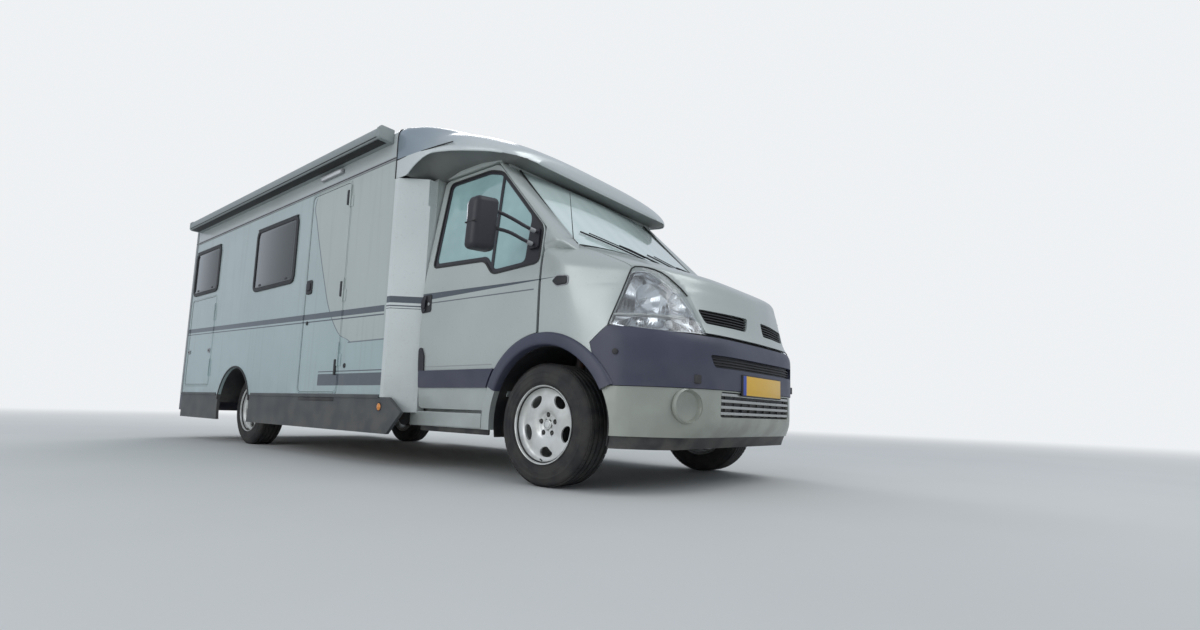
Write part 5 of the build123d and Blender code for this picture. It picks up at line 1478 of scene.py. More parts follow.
class CAMPER_OT_wheels(bpy.types.Operator):
    """Builds one wheel and tyre, and copies it to the four corners"""

    bl_idname = "camper.wheels"
    bl_label = "Wheels"

    def tyre(self, groove):
        """A tyre about the y axis, its outboard side towards -y."""
        side = [
            (0.099, 0.207), (0.1, 0.222), (0.104, 0.228), (0.106, 0.236), (0.1095, 0.238), (0.1105, 0.2425),
            (0.11, 0.262), (0.1115, 0.264), (0.1118, 0.27), (0.1105, 0.273), (0.1095, 0.29), (0.111, 0.292),
            (0.1108, 0.298), (0.108, 0.301), (0.1045, 0.313), (0.0985, 0.325), (0.0905, 0.334), (0.082, 0.3385),
        ]
        tread = [side[-1]]
        for middle in (0.055, 0.019, -0.019, -0.055):
            tread += [
                (middle + 0.0055, TREAD_RADIUS), (middle + 0.004, TREAD_RADIUS - groove),
                (middle - 0.004, TREAD_RADIUS - groove), (middle - 0.0055, TREAD_RADIUS),
            ]
        inner = [(-0.092, 0.2045), (-0.08, 0.22), (-0.07, 0.29), (0.07, 0.29), (0.08, 0.22), (0.092, 0.2045)]
        profile = side + tread + [(-d, r) for d, r in reversed(side)] + inner
        parts = []
        add(parts, turned("tyre", profile, steps=96, closed=True), "tyre_rubber", 28)

        def spin():
            bpy.ops.mesh.spin(steps=TREAD_LUGS, angle=math.tau, center=(0, 0, 0), axis=(0, 1, 0), dupli=True)

        for middle, width, shift in (
            (0.0745, 0.02, 0), (0.037, 0.024, 0.5), (0.0, 0.024, 0), (-0.037, 0.024, 0.5), (-0.0745, 0.02, 0),
        ):
            low, high = (-0.0125, middle - width / 2, 0.3405), (0.0125, middle + width / 2, 0.3447)
            lug = moved(block("lug", low, high, 0.0012, 1), turn=(0, math.tau / TREAD_LUGS * shift, 0))
            add(parts, editing(lug, spin), "tyre_rubber")
        return joined("tyre", *parts)

    def scoop(self, angle):
        """A rounded cutter for one of the hollows between the rim's spokes."""
        bpy.ops.object.select_all(action="DESELECT")
        bpy.ops.mesh.primitive_uv_sphere_add(segments=36, ring_count=20, radius=1, location=(0, 0, 0))
        scoop = bpy.context.active_object
        for vertex in scoop.data.vertices:
            x, y, z = vertex.co
            vertex.co = (x * (0.048 + 0.007 * z), y * 0.034, z * 0.0295)
        return moved(moved(scoop, (0, -0.066, 0.152)), turn=(0, angle, 0))

    def rim(self):
        dish = [
            (-0.108, 0.2215), (-0.1105, 0.2195), (-0.1085, 0.215), (-0.099, 0.2115), (-0.09, 0.2085), (-0.078, 0.2035),
            (-0.069, 0.196), (-0.0655, 0.185), (-0.066, 0.165), (-0.069, 0.14), (-0.0715, 0.115), (-0.071, 0.09),
            (-0.067, 0.076), (-0.061, 0.069), (-0.059, 0.062), (-0.059, 0.0),
        ]
        back = [(d + 0.01, r) for d, r in reversed(dish[5:])]
        barrel = [(-0.05, 0.196), (0.09, 0.196), (0.102, 0.22), (0.108, 0.22), (0.096, 0.204), (-0.07, 0.21)]
        rim = turned("rim", dish + back[1:] + barrel, steps=96, closed=True)
        hole = [(-0.09, 0), (-0.09, 0.015), (-0.04, 0.015), (-0.04, 0)]
        nut = [(-0.06, 0.0), (-0.06, 0.0065), (-0.057, 0.0092), (-0.046, 0.0095), (-0.046, 0.0)]
        nuts = []
        for i in range(SCOOPS):
            angle = math.tau * i / SCOOPS
            place = (math.sin(angle) * BOLT_CIRCLE, 0, math.cos(angle) * BOLT_CIRCLE)
            carve(rim, self.scoop(math.tau * (i + 0.5) / SCOOPS), moved(turned("hole", hole, steps=28), place))
            add(nuts, moved(turned("nut", nut, steps=6), place), "black_trim", 20)
        parts = [finished(rim, "rim_alloy", 35), *nuts]
        cap = [(-0.056, 0.0), (-0.056, 0.0275), (-0.062, 0.0285), (-0.066, 0.0265), (-0.068, 0.02), (-0.0685, 0.0)]
        add(parts, turned("cap", cap, steps=40), "rim_alloy", 35)
        ring = [(-0.0665, 0.0215), (-0.069, 0.021), (-0.069, 0.019), (-0.0665, 0.0185)]
        add(parts, turned("ring", ring, steps=40, closed=True), "frame_grey")
        add(parts, tube("valve", [(0.0, -0.094, -0.2), (0.0, -0.11, -0.19)], 0.0038), "seal_rubber")
        return joined("rim", *parts)

    def execute(self, context):
        tyre, rim = self.tyre(context.scene.camper_sizes.tread_depth), self.rim()
        left_tyre, left_rim = mirrored(tyre, "tyre_left"), mirrored(rim, "rim_left")
        for name, x, y in WHEELS:
            pair = (left_tyre, left_rim) if y > 0 else (tyre, rim)
            for kind, slot, obj in zip(("tyre", "rim"), ("tyre_rubber", "rim_alloy"), pair):
                copy = moved(copied(obj, f"{name}_{kind}_detail"), (x, y, AXLE_Z))
                piece(copy, f"{name}_wheel", [f"{name}_{kind}"])
        for obj in (tyre, rim, left_tyre, left_rim):
            bpy.data.objects.remove(obj)
        return {"FINISHED"}


# The roof cap by the distance ahead of the front axle: half its width, its top, its lip and its soffit
CAP_HALF = (
    (-1.43, 1.134), (-1.34, 1.13), (-1.25, 1.12), (-1.13, 1.107), (-1.01, 1.09), (-0.9, 1.07), (-0.78, 1.045),
    (-0.66, 1.014), (-0.56, 0.984), (-0.49, 0.942), (-0.44, 0.88), (-0.415, 0.8), (-0.405, 0.69),
)
CAP_TOP = (
    (-1.43, 2.56), (-1.28, 2.53), (-1.14, 2.494), (-1.0, 2.45), (-0.86, 2.398), (-0.74, 2.346), (-0.64, 2.297),
    (-0.56, 2.254), (-0.5, 2.22), (-0.45, 2.189), (-0.42, 2.168), (-0.405, 2.15),
)
CAP_LOW = (
    (-1.43, 2.047), (-1.31, 2.047), (-1.292, 2.065), (-1.272, 2.11), (-1.245, 2.142), (-1.205, 2.162), (-1.13, 2.17),
    (-1.02, 2.164), (-0.9, 2.15), (-0.76, 2.126), (-0.62, 2.1), (-0.47, 2.07), (-0.405, 2.062),
)
SOFFIT_IN = (
    (-1.31, 2.06), (-1.19, 2.062), (-1.02, 2.098), (-0.79, 2.098), (-0.64, 2.075), (-0.54, 2.052), (-0.42, 2.058),
)
SEAM_X, SEAM_Z, SEAM_RISE = -1.43, 2.186, 0.03  # where the cap's seam starts, and its slope
BOX_HALF = ((0, 1.134), (0.45, 1.134), (0.62, 1.128), (0.78, 1.108), (1, 1.064))
BOX_HEIGHT = ((0, 2.047), (0.45, 2.36), (0.62, 2.4), (0.78, 2.428), (1, 2.442))
BOX_SIDE_SHARE = 0.45  # of a section's points, up to the top of BOX_HEIGHT


def box_roof_z(y):
    """The box roof's height at a y."""
    half, edge = BOX_HALF[-1][1], BOX_HEIGHT[-1][1]
    return edge + 0.118 * (1 - (min(abs(y), half) / half) ** 2)


def cap_section(x, steps=26):
    """Points of the roof cap from its right lip over the top to its left lip, at a distance ahead."""
    half, top, low = along(CAP_HALF, x), along(CAP_TOP, x), along(CAP_LOW, x)
    box = 1 - smooth(x, SEAM_X, -1.02)
    full = 2.9 + 2.4 * box
    points = []
    for i in range(steps + 1):
        turn = math.pi / 2 * i / steps
        y = half * max(math.cos(turn), 0.0) ** (2 / full)
        z = low + (top - low) * math.sin(turn) ** (2 / (2.3 + 0.6 * box))
        side = i / (steps * BOX_SIDE_SHARE)
        if side < 1:
            box_y, box_z = along(BOX_HALF, side), along(BOX_HEIGHT, side)
        else:
            box_y = BOX_HALF[-1][1] * (1 - (i / steps - BOX_SIDE_SHARE) / (1 - BOX_SIDE_SHARE))
            box_z = box_roof_z(box_y)
        points.append((y * (1 - box) + box_y * box, z * (1 - box) + box_z * box))
    return [(-y, z) for y, z in points] + [(y, z) for y, z in reversed(points[:-1])]


class CAMPER_OT_roof_cap(bpy.types.Operator):
    """Builds the moulded cap over the cab, with its soffit and seam"""

    bl_idname = "camper.roof_cap"
    bl_label = "Roof cap"

    def execute(self, context):
        stations = spread(-1.43, -0.5, 32) + [-0.475, -0.455, -0.438, -0.424, -0.413, -0.406]
        rows = [[(ahead(x), y, z) for y, z in cap_section(x)] for x in stations]
        last = cap_section(-0.406)
        for share, x in ((0.75, -0.4045), (0.4, -0.4055), (0.12, -0.409), (0.0, -0.415)):
            rows.append([(ahead(x), y, 2.062 + (z - 2.062) * share) for y, z in last])
        cap = shell(surface("roof_cap_shell", rows, (0, 0, 1)), 0.006)
        piece(finished(cap, "cap_paint", 40), "vehicle", ["roof_cap"])

        rows = []
        for x in spread(-1.318, -0.414, 44):
            half, low = along(CAP_HALF, x) - 0.004, along(CAP_LOW, x) + 0.003
            inner, deep = 0.885 - 0.05 * smooth(x, -0.9, -0.5), along(SOFFIT_IN, x)
            run = [(half * (1 - t) + inner * t, low + (deep - low) * smooth(t, 0, 1)) for t in spread(0, 1, 8)]
            row = [(-y, z) for y, z in run] + [(y, deep) for y in spread(-inner, inner, 12)[1:-1]] + run[::-1]
            rows.append([(ahead(x), y, z) for y, z in row])
        parts = []
        add(parts, shell(surface("soffit", rows, (0, 0, -1)), 0.004), "soffit_skin")
        wall = [[(ahead(-1.318), y, z) for y in spread(-1.12, 1.12, 20)] for z in (2.052, 2.1, 2.16)]
        add(parts, shell(surface("bulkhead", wall, (1, 0, 0)), 0.004), "soffit_skin")
        for side in (-1, 1):
            lip, line = [], []
            for x in spread(-1.3, -0.5, 36):
                lip.append((ahead(x), side * (along(CAP_HALF, x) - 0.004), along(CAP_LOW, x) + 0.001))
            for x in spread(-1.428, -0.87, 20):
                line.append((ahead(x), side * (along(CAP_HALF, x) + 0.0005), SEAM_Z + (x - SEAM_X) * SEAM_RISE))
            add(parts, tube("lip", lip, 0.006), "corner_paint")
            add(parts, tube("groove", line, 0.0042), "seal_rubber")
        joint = [(ahead(SEAM_X - 0.0015), y * 1.001, z + 0.001) for y, z in cap_section(SEAM_X)]
        add(parts, tube("joint", joint, 0.0045), "seal_rubber")
        piece(joined("roof_cap_trim", *parts), "vehicle")
        return {"FINISHED"}


WINDOWS = (  # name, rear and front edge ahead of the axle, foot, top and sides
    ("window_rear", -5.495, -4.78, 1.59, 2.07, (-1, 1)), ("window_middle", -3.8, -2.95, 1.47, 2.05, (-1, 1)),
    ("window_front", -2.5, -1.85, 1.47, 2.05, (1,)),
)


def box_outline(x_low, x_high, z_low, z_high, grow, radius):
    """A rounded rectangle, made larger on every side."""
    return oblong(x_low - grow, x_high + grow, z_low - grow, z_high + grow, radius)


def on_side(name, outline, side, out, thickness, finish, bevel=0.001):
    """A flat mesh whose outside stands out from one side of the living box."""
    near, far = sorted((side * (BOX_Y + out), side * (BOX_Y + out - thickness)))
    return finished(plate(name, outline, near, far, "side", bevel), finish)


class CAMPER_OT_windows(bpy.types.Operator):
    """Builds the living box's acrylic windows and the rooflights"""

    bl_idname = "camper.windows"
    bl_label = "Windows"

    def window(self, rear, front, low, high, side):
        """One window: frame, seal, pane, two catches and a rail."""
        outline = box_outline(rear, front, low, high, 0.016, 0.085)
        seal = [grown(outline, -0.029), grown(outline, -0.036)]
        parts = [
            on_side("ring", [outline, grown(outline, -0.03)], side, 0.012, 0.016, "black_trim", 0.003),
            on_side("seal", seal, side, *((0.01, 0.014) if side > 0 else (0.012, 0.016)), "seal_rubber", 0.0005),
            on_side("pane", grown(outline, -0.034), side, 0.009, 0.011, "window_acrylic", 0.004),
        ]
        for x in (rear + 0.144, front - 0.144):
            catch = oblong(x - 0.022, x + 0.022, low + 0.03, low + 0.05, 0.008)
            parts.append(on_side("catch", catch, side, 0.0115, 0.0035, "black_trim"))
        rail = oblong(rear + 0.004, front - 0.004, high + 0.004, high + 0.022, 0.006)
        parts.append(on_side("rail", rail, side, 0.0125, 0.0125, "black_trim", 0.003))
        return parts

    def execute(self, context):
        replaced = ["side_windows"]
        for name, rear, front, low, high, sides in WINDOWS:
            for side in sides:
                parts = self.window(ahead(rear), ahead(front), low, high, side)
                label = "right" if side < 0 else "left"
                piece(joined(f"{name}_{label}", *parts), "vehicle", replaced)
                replaced = ()
        for i, (centre, length) in enumerate(((-4.9, 0.5), (-3.0, 0.7), (-1.75, 0.5))):
            x, half = ahead(centre), length / 2
            base = plate("base", oblong(x - half, x + half, -0.25, 0.25, 0.05), 2.54, 2.592, "plan", 0.006)
            rows = []
            for u in spread(-1, 1, 16):
                rise = 0.046 * (1 - abs(u) ** 3.2) ** 0.6
                rows.append([
                    (x + u * (half - 0.022), v * 0.228, 2.59 + rise * (1 - abs(v) ** 3.2) ** 0.6)
                    for v in spread(-1, 1, 16)
                ])
            dome = shell(surface("dome", rows, (0, 0, 1)), 0.003)
            obj = joined(f"rooflight_{i}", finished(base, "frame_grey"), finished(dome, "dome_acrylic"))
            piece(obj, "vehicle", ["rooflights"] if i == 0 else ())
        return {"FINISHED"}


class CAMPER_OT_side_trim(bpy.types.Operator):
    """Adds the awning, the door frames, the rails, the locks and the lamps of the living box"""

    bl_idname = "camper.side_trim"
    bl_label = "Side trim"

    def door_edge(self, outline, side):
        """The frame round a door, and the rim and shut line on the door itself."""
        frame = on_side("ring", [outline, grown(outline, -0.01)], side, 0.003, 0.006, "box_side_skin")
        inner = grown(outline, -0.016)
        rim = on_side("panel", [inner, grown(inner, -0.008)], side, 0.003, 0.005, "box_side_skin")
        line = [grown(inner, -0.008), grown(inner, -0.011)]
        return frame, [rim, on_side("crease", line, side, 0.0012, 0.002, "seal_rubber", 0.0003)]

    def awning(self):
        rear, front = ahead(-5.49), ahead(-1.487)
        section = [
            (-1.1335, 2.43), (-1.1335, 2.33), (-1.15, 2.329), (-1.226, 2.33), (-1.244, 2.336), (-1.2545, 2.352),
            (-1.2558, 2.376), (-1.25, 2.406), (-1.238, 2.423), (-1.216, 2.431),
        ]
        end = [
            (-1.1335, 2.4315), (-1.1335, 2.3285), (-1.238, 2.3285), (-1.2555, 2.344), (-1.2559, 2.414),
            (-1.24, 2.4315),
        ]
        parts = []
        add(parts, plate("case", section, rear + 0.034, front - 0.034, "front"), "awning_skin")
        for low, high in ((rear, rear + 0.036), (front - 0.036, front)):
            add(parts, plate("end", rounded(end, 0.01), low, high, "front", 0.003), "awning_skin")
        rear, front = rear + 0.04, front - 0.04
        add(parts, block("lip", (rear, -1.2562, 2.344), (front, -1.25, 2.3475), 0.001), "seal_rubber")
        add(parts, block("slit", (rear, -1.24, 2.3278), (front, -1.17, 2.33), 0.0008), "seal_rubber")
        return joined("awning_case", *parts)

    def edges(self, side):
        """The rails, the corner strip, the arch's lip and the marker lamp of one side."""
        rear, end = BOX_REAR_X + 0.004, ahead(SEAM_X)
        parts = []
        rail = ((-0.004, 2.19), (0.006, 2.192), (0.008, 2.203), (0.006, 2.214), (-0.004, 2.216))
        rail = [(side * (BOX_Y + out), z) for out, z in rail]
        add(parts, plate("rail", rail, rear, end, "front"), "frame_grey")
        low, high = (rear, side * (BOX_Y + 0.0065), 2.1995), (end, side * (BOX_Y + 0.0088), 2.2065)
        add(parts, block("rail_slot", low, high, 0.0005), "seal_rubber")
        foot = ((-0.004, 0.47), (0.005, 0.47), (0.007, 0.482), (0.005, 0.496), (-0.004, 0.496))
        foot = [(side * (BOX_Y + out), z) for out, z in foot]
        for low, high in ((rear, REAR_AXLE_X - 0.44), (REAR_AXLE_X + 0.44, end - 0.01)):
            add(parts, plate("foot_rail", foot, low, high, "front"), "skirt_plastic")
        corner = ((-0.006, -0.03), (-0.006, 0.006), (0.034, 0.006), (0.034, -0.002), (0.002, -0.002), (0.002, -0.03))
        corner = [(BOX_REAR_X + run, side * (BOX_Y + out)) for run, out in corner]
        add(parts, plate("corner", corner, 0.48, 2.37, "plan"), "frame_grey")
        arch = []
        for radius, first, last in ((0.412, 12, 168), (0.396, 168, 12)):
            for angle in map(math.radians, spread(first, last, 40)):
                arch.append((REAR_AXLE_X + radius * math.cos(angle), AXLE_Z + radius * math.sin(angle)))
        parts.append(on_side("arch_lip", arch, side, 0.007, 0.022, "black_trim", 0.002))
        place = (ahead(-1.433), side * 1.13, 0.411)
        lamp = [(-0.012, 0.0), (-0.012, 0.026), (0.006, 0.024), (0.011, 0.014), (0.012, 0.0)]
        add(parts, turned("marker", lamp, place, (0, side, 0), 28), "amber_lens")
        base = [(-0.01, 0.0), (-0.01, 0.031), (0.004, 0.031), (0.004, 0.0)]
        add(parts, turned("marker_base", base, place, (0, side, 0), 28), "black_trim")
        return parts

    def execute(self, context):
        piece(self.awning(), "vehicle", ["awning_cassette"])
        barrel = [(-0.002, 0.0), (-0.002, 0.012), (0.002, 0.011), (0.002, 0.0)]
        for side, label in ((-1, "right"), (1, "left")):
            piece(joined(f"{label}_side_trim", *self.edges(side)), "vehicle")
            rear, front = ahead(-5.5), ahead(-4.78)
            ring, parts = self.door_edge(box_outline(rear, front, 0.572, 1.53, 0.014, 0.06), side)
            piece(joined(f"{label}_garage_frame", ring), "vehicle")
            for x in (rear + 0.055, front - 0.055):
                lock = oblong(x - 0.03, x + 0.03, 0.918, 0.962, 0.018)
                parts.append(on_side("lock", lock, side, 0.009, 0.01, "frame_grey", 0.002))
                place = (x, side * (BOX_Y + 0.009), 0.94)
                add(parts, turned("barrel", barrel, place, (0, side, 0), 24), "black_trim")
            piece(joined(f"{label}_garage_trim", *parts), f"{label}_garage_door")

        rear, front = ahead(-2.7), ahead(-2.05)
        outer = [(rear - 0.014, 0.486), (front + 0.014, 0.486), (front + 0.014, 2.19), (rear - 0.014, 2.19)]
        ring, parts = self.door_edge(rounded(outer, 0.08, 8), -1)
        around = [ring]
        add(around, block("step", (rear + 0.03, -1.136, 0.44), (front - 0.03, -1.1, 0.47), 0.006), "black_trim")
        low, high = (ahead(-2.547), -1.16, 2.268), (ahead(-2.194), -1.134, 2.306)
        add(around, block("lamp_base", low, high, 0.008), "frame_grey")
        low, high = (ahead(-2.53), -1.1665, 2.272), (ahead(-2.211), -1.15, 2.302)
        add(around, block("lamp_lens", low, high, 0.009), "clear_lens")
        inlet = [(-0.004, 0.0), (-0.004, 0.02), (0.004, 0.018), (0.005, 0.0)]
        add(around, turned("inlet", inlet, (ahead(-1.95), -BOX_Y, 0.709), (0, -1, 0), 28), "black_trim")
        piece(joined("entry_frame", *around), "vehicle")
        x = ahead(-2.63)
        base = oblong(x - 0.05, x + 0.05, 1.32, 1.44, 0.024)
        parts.append(on_side("handle_base", base, -1, 0.008, 0.01, "black_trim", 0.003))
        handle = oblong(x - 0.036, x + 0.03, 1.35, 1.414, 0.012)
        parts.append(on_side("handle", handle, -1, 0.016, 0.012, "mirror_plastic", 0.004))
        lock = [(-0.002, 0.0), (-0.002, 0.017), (0.004, 0.016), (0.005, 0.01), (0.005, 0.0)]
        add(parts, turned("lock", lock, (x + 0.01, -1.136, 1.075), (0, -1, 0), 28), "black_trim")
        for low, high in ((0.64, 0.76), (1.25, 1.37), (1.985, 2.105)):
            hinge = oblong(front - 0.052, front - 0.026, low, high, 0.006)
            parts.append(on_side("hinge", hinge, -1, 0.01, 0.01, "black_trim", 0.002))
        piece(joined("entry_door_trim", *parts), "entry_door")
        return {"FINISHED"}


class CAMPER_OT_rear_trim(bpy.types.Operator):
    """Adds the rear lamps, the plate, the seams and the marker lamps of the rear wall"""

    bl_idname = "camper.rear_trim"
    bl_label = "Rear trim"

    def flat(self, name, outline, rear, front, finish, bevel):
        """A flat mesh on the rear wall, between two distances from it."""
        return finished(plate(name, outline, BOX_REAR_X + rear, BOX_REAR_X + front, "front", bevel), finish)

    def execute(self, context):
        for side, label in ((-1, "right"), (1, "left")):
            low, high = sorted((side * 0.93, side * 1.07))
            parts = [self.flat("housing", oblong(low, high, 0.64, 1.01, 0.03), -0.014, 0.004, "black_trim", 0.004)]
            for z_low, z_high, finish in (
                (0.654, 0.758, "red_lens"), (0.766, 0.83, "clear_lens"), (0.838, 0.902, "red_lens"),
                (0.91, 0.996, "amber_lens"),
            ):
                lens = oblong(low + 0.012, high - 0.012, z_low, z_high, 0.014)
                parts.append(self.flat("lens", lens, -0.0198, -0.01, finish, 0.004))
            y = side * 0.78
            reflector = oblong(y - 0.055, y + 0.055, 0.4, 0.436, 0.008)
            parts.append(self.flat("reflector", reflector, -0.0262, -0.02, "red_lens", 0.002))
            for y in (side * 1.02, side * 0.12):
                lamp = oblong(y - 0.05, y + 0.05, 2.33, 2.356, 0.01)
                parts.append(self.flat("top_lamp", lamp, -0.014, 0.002, "red_lens", 0.003))
            piece(joined(f"{label}_rear_lamp", *parts), "vehicle", ["rear_lamps"] if side < 0 else ())
        x = BOX_REAR_X
        parts = []
        for z in (0.506, 2.285):
            add(parts, block("seam", (x - 0.0035, -1.1, z - 0.006), (x + 0.001, 1.1, z + 0.006), 0.001), "frame_grey")
        for y in (-0.52, 0.52):
            low, high = (x - 0.0025, y - 0.002, 0.51), (x + 0.001, y + 0.002, 2.28)
            add(parts, block("pillar", low, high, 0.0005), "seal_rubber")
        outline = oblong(-0.46, 0.46, 1.43, 2.0, 0.085)
        parts += [
            self.flat("window_ring", [outline, grown(outline, -0.03)], -0.012, 0.002, "black_trim", 0.003),
            self.flat("window_pane", grown(outline, -0.032), -0.01, 0.001, "window_acrylic", 0.004),
            self.flat("plate_holder", oblong(-0.268, 0.268, 0.7, 0.822, 0.01), -0.008, 0.001, "black_trim", 0.002),
            self.flat("plate", oblong(-0.26, 0.26, 0.706, 0.816, 0.008), -0.01, -0.007, "plate_yellow", 0.0008),
        ]
        for y in (-0.09, 0.09):
            low, high = (x - 0.02, y - 0.03, 0.834), (x + 0.001, y + 0.03, 0.852)
            add(parts, block("plate_lamp", low, high, 0.005), "black_trim")
        piece(joined("rear_wall_trim", *parts), "vehicle")
        return {"FINISHED"}


SEAT_Y = -0.42
SEAM_WIDTH = 0.008
SEAT_REAR, SEAT_FRONT = ahead(-1.19), ahead(-0.68)


class CAMPER_OT_seats(bpy.types.Operator):
    """Makes the two padded cab seats on their frames"""

    bl_idname = "camper.seats"
    bl_label = "Cab seats"

    def pad(self, name, low, high, shape, cap=0.022):
        """A cushion inflated as cloth from a slightly smaller block."""
        pad = block(name, low, high, 0.04, 4)
        modify(pad, "REMESH", mode="VOXEL", voxel_size=0.011)
        for vertex in pad.data.vertices:
            vertex.co = shape(*vertex.co)
        rest = [vertex.co.copy() for vertex in pad.data.vertices]
        alone(pad)
        cloth = pad.modifiers.new("Cloth", "CLOTH")
        cloth.settings.use_pressure = True
        cloth.settings.uniform_pressure_force = 4
        cloth.settings.effector_weights.gravity = 0
        cloth.point_cache.frame_start, cloth.point_cache.frame_end = 1, 20
        for step in range(1, 21):
            bpy.context.scene.frame_set(step)
        bpy.ops.object.modifier_apply(modifier=cloth.name)
        bpy.context.scene.frame_set(1)
        for vertex, start in zip(pad.data.vertices, rest):
            move = vertex.co - start
            if move.length > cap:
                vertex.co = start + move.normalized() * cap
        return modify(pad, "SUBSURF", levels=1)

    def sew(self, pad, seams, axis, depth=0.008):
        """Sinks the pad along an axis at its seams; each seam is (coordinate, value)."""
        for vertex in pad.data.vertices:
            pull = max(math.exp(-(((vertex.co[i] - value) / SEAM_WIDTH) ** 2)) for i, value in seams)
            if pull > 0.01:
                vertex.co[axis] -= depth * pull
        return pad

    def cushions(self):
        """The seat, the back and the head rest of the right seat, inflated and sewn."""
        rear, front = SEAT_REAR, SEAT_FRONT

        def seat_shape(x, y, z):
            swell = 0.016 * (abs(y - SEAT_Y) / 0.215) ** 4 * (1 if z > 0.91 else 0)
            return (x, y, z + swell - 0.012 * smooth(x, front - 0.12, front))

        def back_shape(x, y, z):
            swell = 0.02 * (abs(y - SEAT_Y) / 0.205) ** 4 * (1 if x > rear + 0.07 else 0)
            return (x + swell, y - (y - SEAT_Y) * 0.14 * smooth(z, 1.3, 1.56), z)

        def head_shape(x, y, z):
            return (x, y - (y - SEAT_Y) * 0.1 * smooth(z, 1.66, 1.76), z)

        low, high = (rear + 0.018, SEAT_Y - 0.225, 0.866), (front - 0.016, SEAT_Y + 0.225, 0.96)
        seat = self.pad("seat", low, high, seat_shape)
        low, high = (rear + 0.014, SEAT_Y - 0.215, 0.985), (rear + 0.112, SEAT_Y + 0.215, 1.545)
        back = self.pad("back", low, high, back_shape, 0.016)
        low, high = (rear + 0.02, SEAT_Y - 0.13, 1.612), (rear + 0.106, SEAT_Y + 0.13, 1.744)
        head = self.pad("head", low, high, head_shape, 0.014)
        self.sew(seat, [(1, SEAT_Y - 0.125), (1, SEAT_Y + 0.125), (0, front - 0.13)], 2)
        self.sew(back, [(1, SEAT_Y - 0.115), (1, SEAT_Y + 0.115), (2, 1.19), (2, 1.38)], 0)
        self.sew(head, [(1, SEAT_Y - 0.075), (1, SEAT_Y + 0.075)], 0, 0.004)
        return seat, back, head

    def frame(self):
        """The right seat's plinth, rails, tray, posts and recliner covers."""
        rear, front = SEAT_REAR, SEAT_FRONT
        parts = []
        for low, high, inset in ((0.545, 0.585, 0.045), (0.585, 0.815, 0.07)):
            near, far = (rear + inset, SEAT_Y - 0.235 + inset, low), (front - inset, SEAT_Y + 0.235 - inset, high)
            add(parts, block("base", near, far, 0.012), "dash_plastic")
        for y in (SEAT_Y - 0.16, SEAT_Y + 0.16):
            near, far = (rear + 0.03, y - 0.018, 0.815), (front - 0.02, y + 0.018, 0.838)
            add(parts, block("rail", near, far, 0.004), "chassis_steel")
        near, far = (rear + 0.03, SEAT_Y - 0.205, 0.838), (front - 0.03, SEAT_Y + 0.205, 0.858)
        add(parts, block("tray", near, far, 0.008), "black_trim")
        for y in (SEAT_Y - 0.055, SEAT_Y + 0.055):
            add(parts, tube("post", [(rear + 0.062, y, 1.54), (rear + 0.062, y, 1.63)], 0.006), "bright_bars")
        cover = [(-0.01, 0.0), (-0.01, 0.038), (0.006, 0.036), (0.01, 0.026), (0.01, 0.0)]
        for out in (-1, 1):
            place = (rear + 0.085, SEAT_Y + out * 0.238, 0.93)
            add(parts, turned("recliner", cover, place, (0, out, 0), 32), "black_trim")
        return joined("seat_frame", *parts)

    def execute(self, context):
        for name, pad, fill in zip(("seat_cushion", "seat_back", "head_rest"), self.cushions(), (0.6, 0.6, 0.7)):
            finished(pad, "seat_cloth", 60)
            replaced = ["cab_seats"] if name == "seat_cushion" else ()
            for obj in both_sides(pad, name, replaces=(replaced, ())):
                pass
        both_sides(self.frame(), "seat_frame")
        return {"FINISHED"}


PILLAR_SIDE = (  # height, half the width over the pillars
    (1.3, 0.94), (1.34, 0.953), (1.38, 0.9635), (1.41, 0.9655), (1.425, 0.9645), (1.55, 0.9435), (1.7, 0.9185),
    (1.85, 0.8935), (2.08, 0.854),
)
# The pillar's corner, its bow and its edge at the glass are that far ahead, less the height
PILLAR_SLANT, PILLAR_BOW, PILLAR_EDGE = 1.4415, 1.494, 1.471


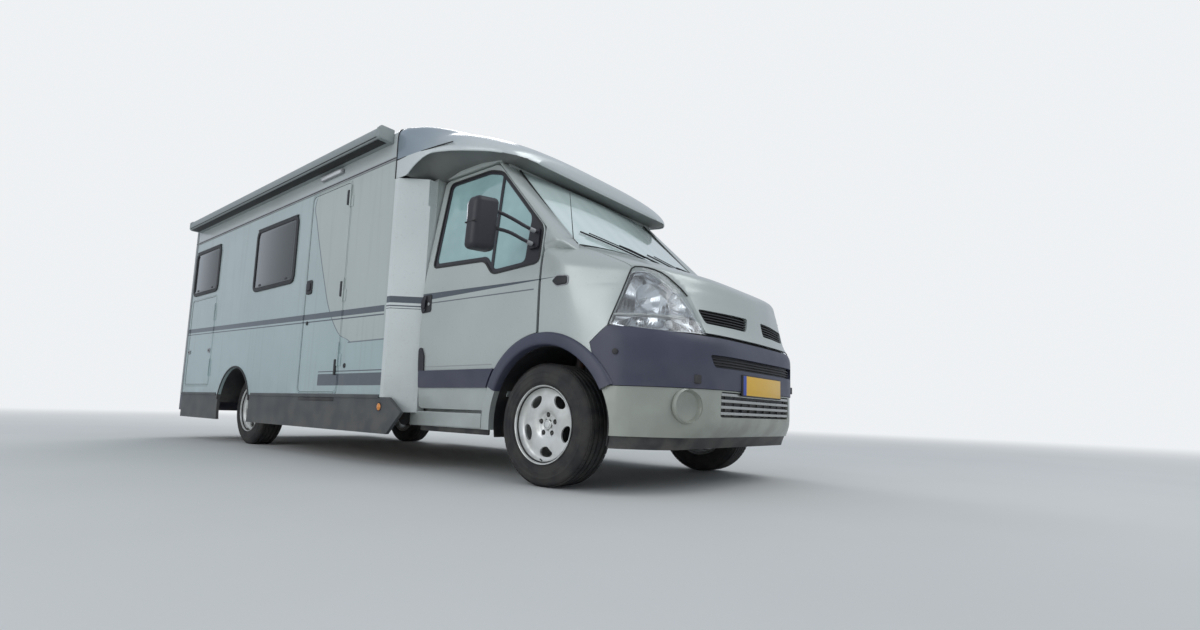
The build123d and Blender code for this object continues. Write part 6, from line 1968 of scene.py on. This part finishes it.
class CAMPER_OT_pillars(bpy.types.Operator):
    """Smooths the windscreen pillars from the wings up to the roof"""

    bl_idname = "camper.pillars"
    bl_label = "Pillars"

    def execute(self, context):
        rows = []
        for z in spread(1.3, 2.07, 60):
            start = min(-0.0585, PILLAR_SLANT - z)
            side = min(along(PILLAR_SIDE, z), door_y(-0.064, z) - 0.001) - 0.006 * (1 - smooth(z, 1.3, 1.35))
            width = side - 0.085 * (1 - smooth(z, 1.33, SCREEN_FOOT))
            corner = Vector((PILLAR_SLANT - z, width + 0.001))
            edge = Vector((PILLAR_EDGE - z, 0.8 - (z - SCREEN_FOOT) * 0.108))
            bow = Vector((PILLAR_BOW - z, width - 0.001))
            row = [(start + (corner[0] - start) * t, side + (corner[1] - side) * t) for t in spread(0, 1, 4)]
            row += [(1 - t) ** 2 * corner + 2 * t * (1 - t) * bow + t * t * edge for t in spread(0, 1, 14)[1:]]
            rows.append([(ahead(point[0]), -point[1], z) for point in row])
        pillar = shell(surface("pillar", rows, (1, -1, 0.3)), 0.006)
        both_sides(finished(pillar, "silver_paint", 60), "pillar")
        return {"FINISHED"}


STEPS = (
    CAMPER_OT_stage, CAMPER_OT_finishes, CAMPER_OT_front_panels, CAMPER_OT_grilles,
    CAMPER_OT_headlamps, CAMPER_OT_arches, CAMPER_OT_cab_doors, CAMPER_OT_screen_trim,
    CAMPER_OT_wheels, CAMPER_OT_roof_cap, CAMPER_OT_windows, CAMPER_OT_side_trim, CAMPER_OT_rear_trim,
    CAMPER_OT_seats, CAMPER_OT_pillars,
)


class CAMPER_PT_panel(bpy.types.Panel):
    """Lists the steps that build the vehicle's looks"""

    bl_label = "Motorhome"
    bl_idname = "CAMPER_PT_panel"
    bl_space_type = "VIEW_3D"
    bl_region_type = "UI"
    bl_category = "Motorhome"

    def draw(self, context):
        for step in STEPS:
            self.layout.operator(step.bl_idname)
        for group in (context.scene.camper_colours, context.scene.camper_sizes):
            for name in group.__annotations__:
                self.layout.prop(group, name)


CLASSES = (CamperColours, CamperSizes, *STEPS, CAMPER_PT_panel)


def register():
    for cls in CLASSES:
        bpy.utils.register_class(cls)
    bpy.types.Scene.camper_colours = bpy.props.PointerProperty(type=CamperColours)
    bpy.types.Scene.camper_sizes = bpy.props.PointerProperty(type=CamperSizes)


def unregister():
    del bpy.types.Scene.camper_sizes
    del bpy.types.Scene.camper_colours
    for cls in reversed(CLASSES):
        bpy.utils.unregister_class(cls)


def main():
    register()
    for step in STEPS:
        group, name = step.bl_idname.split(".")
        getattr(getattr(bpy.ops, group), name)()


if __name__ == "__main__":
    main()
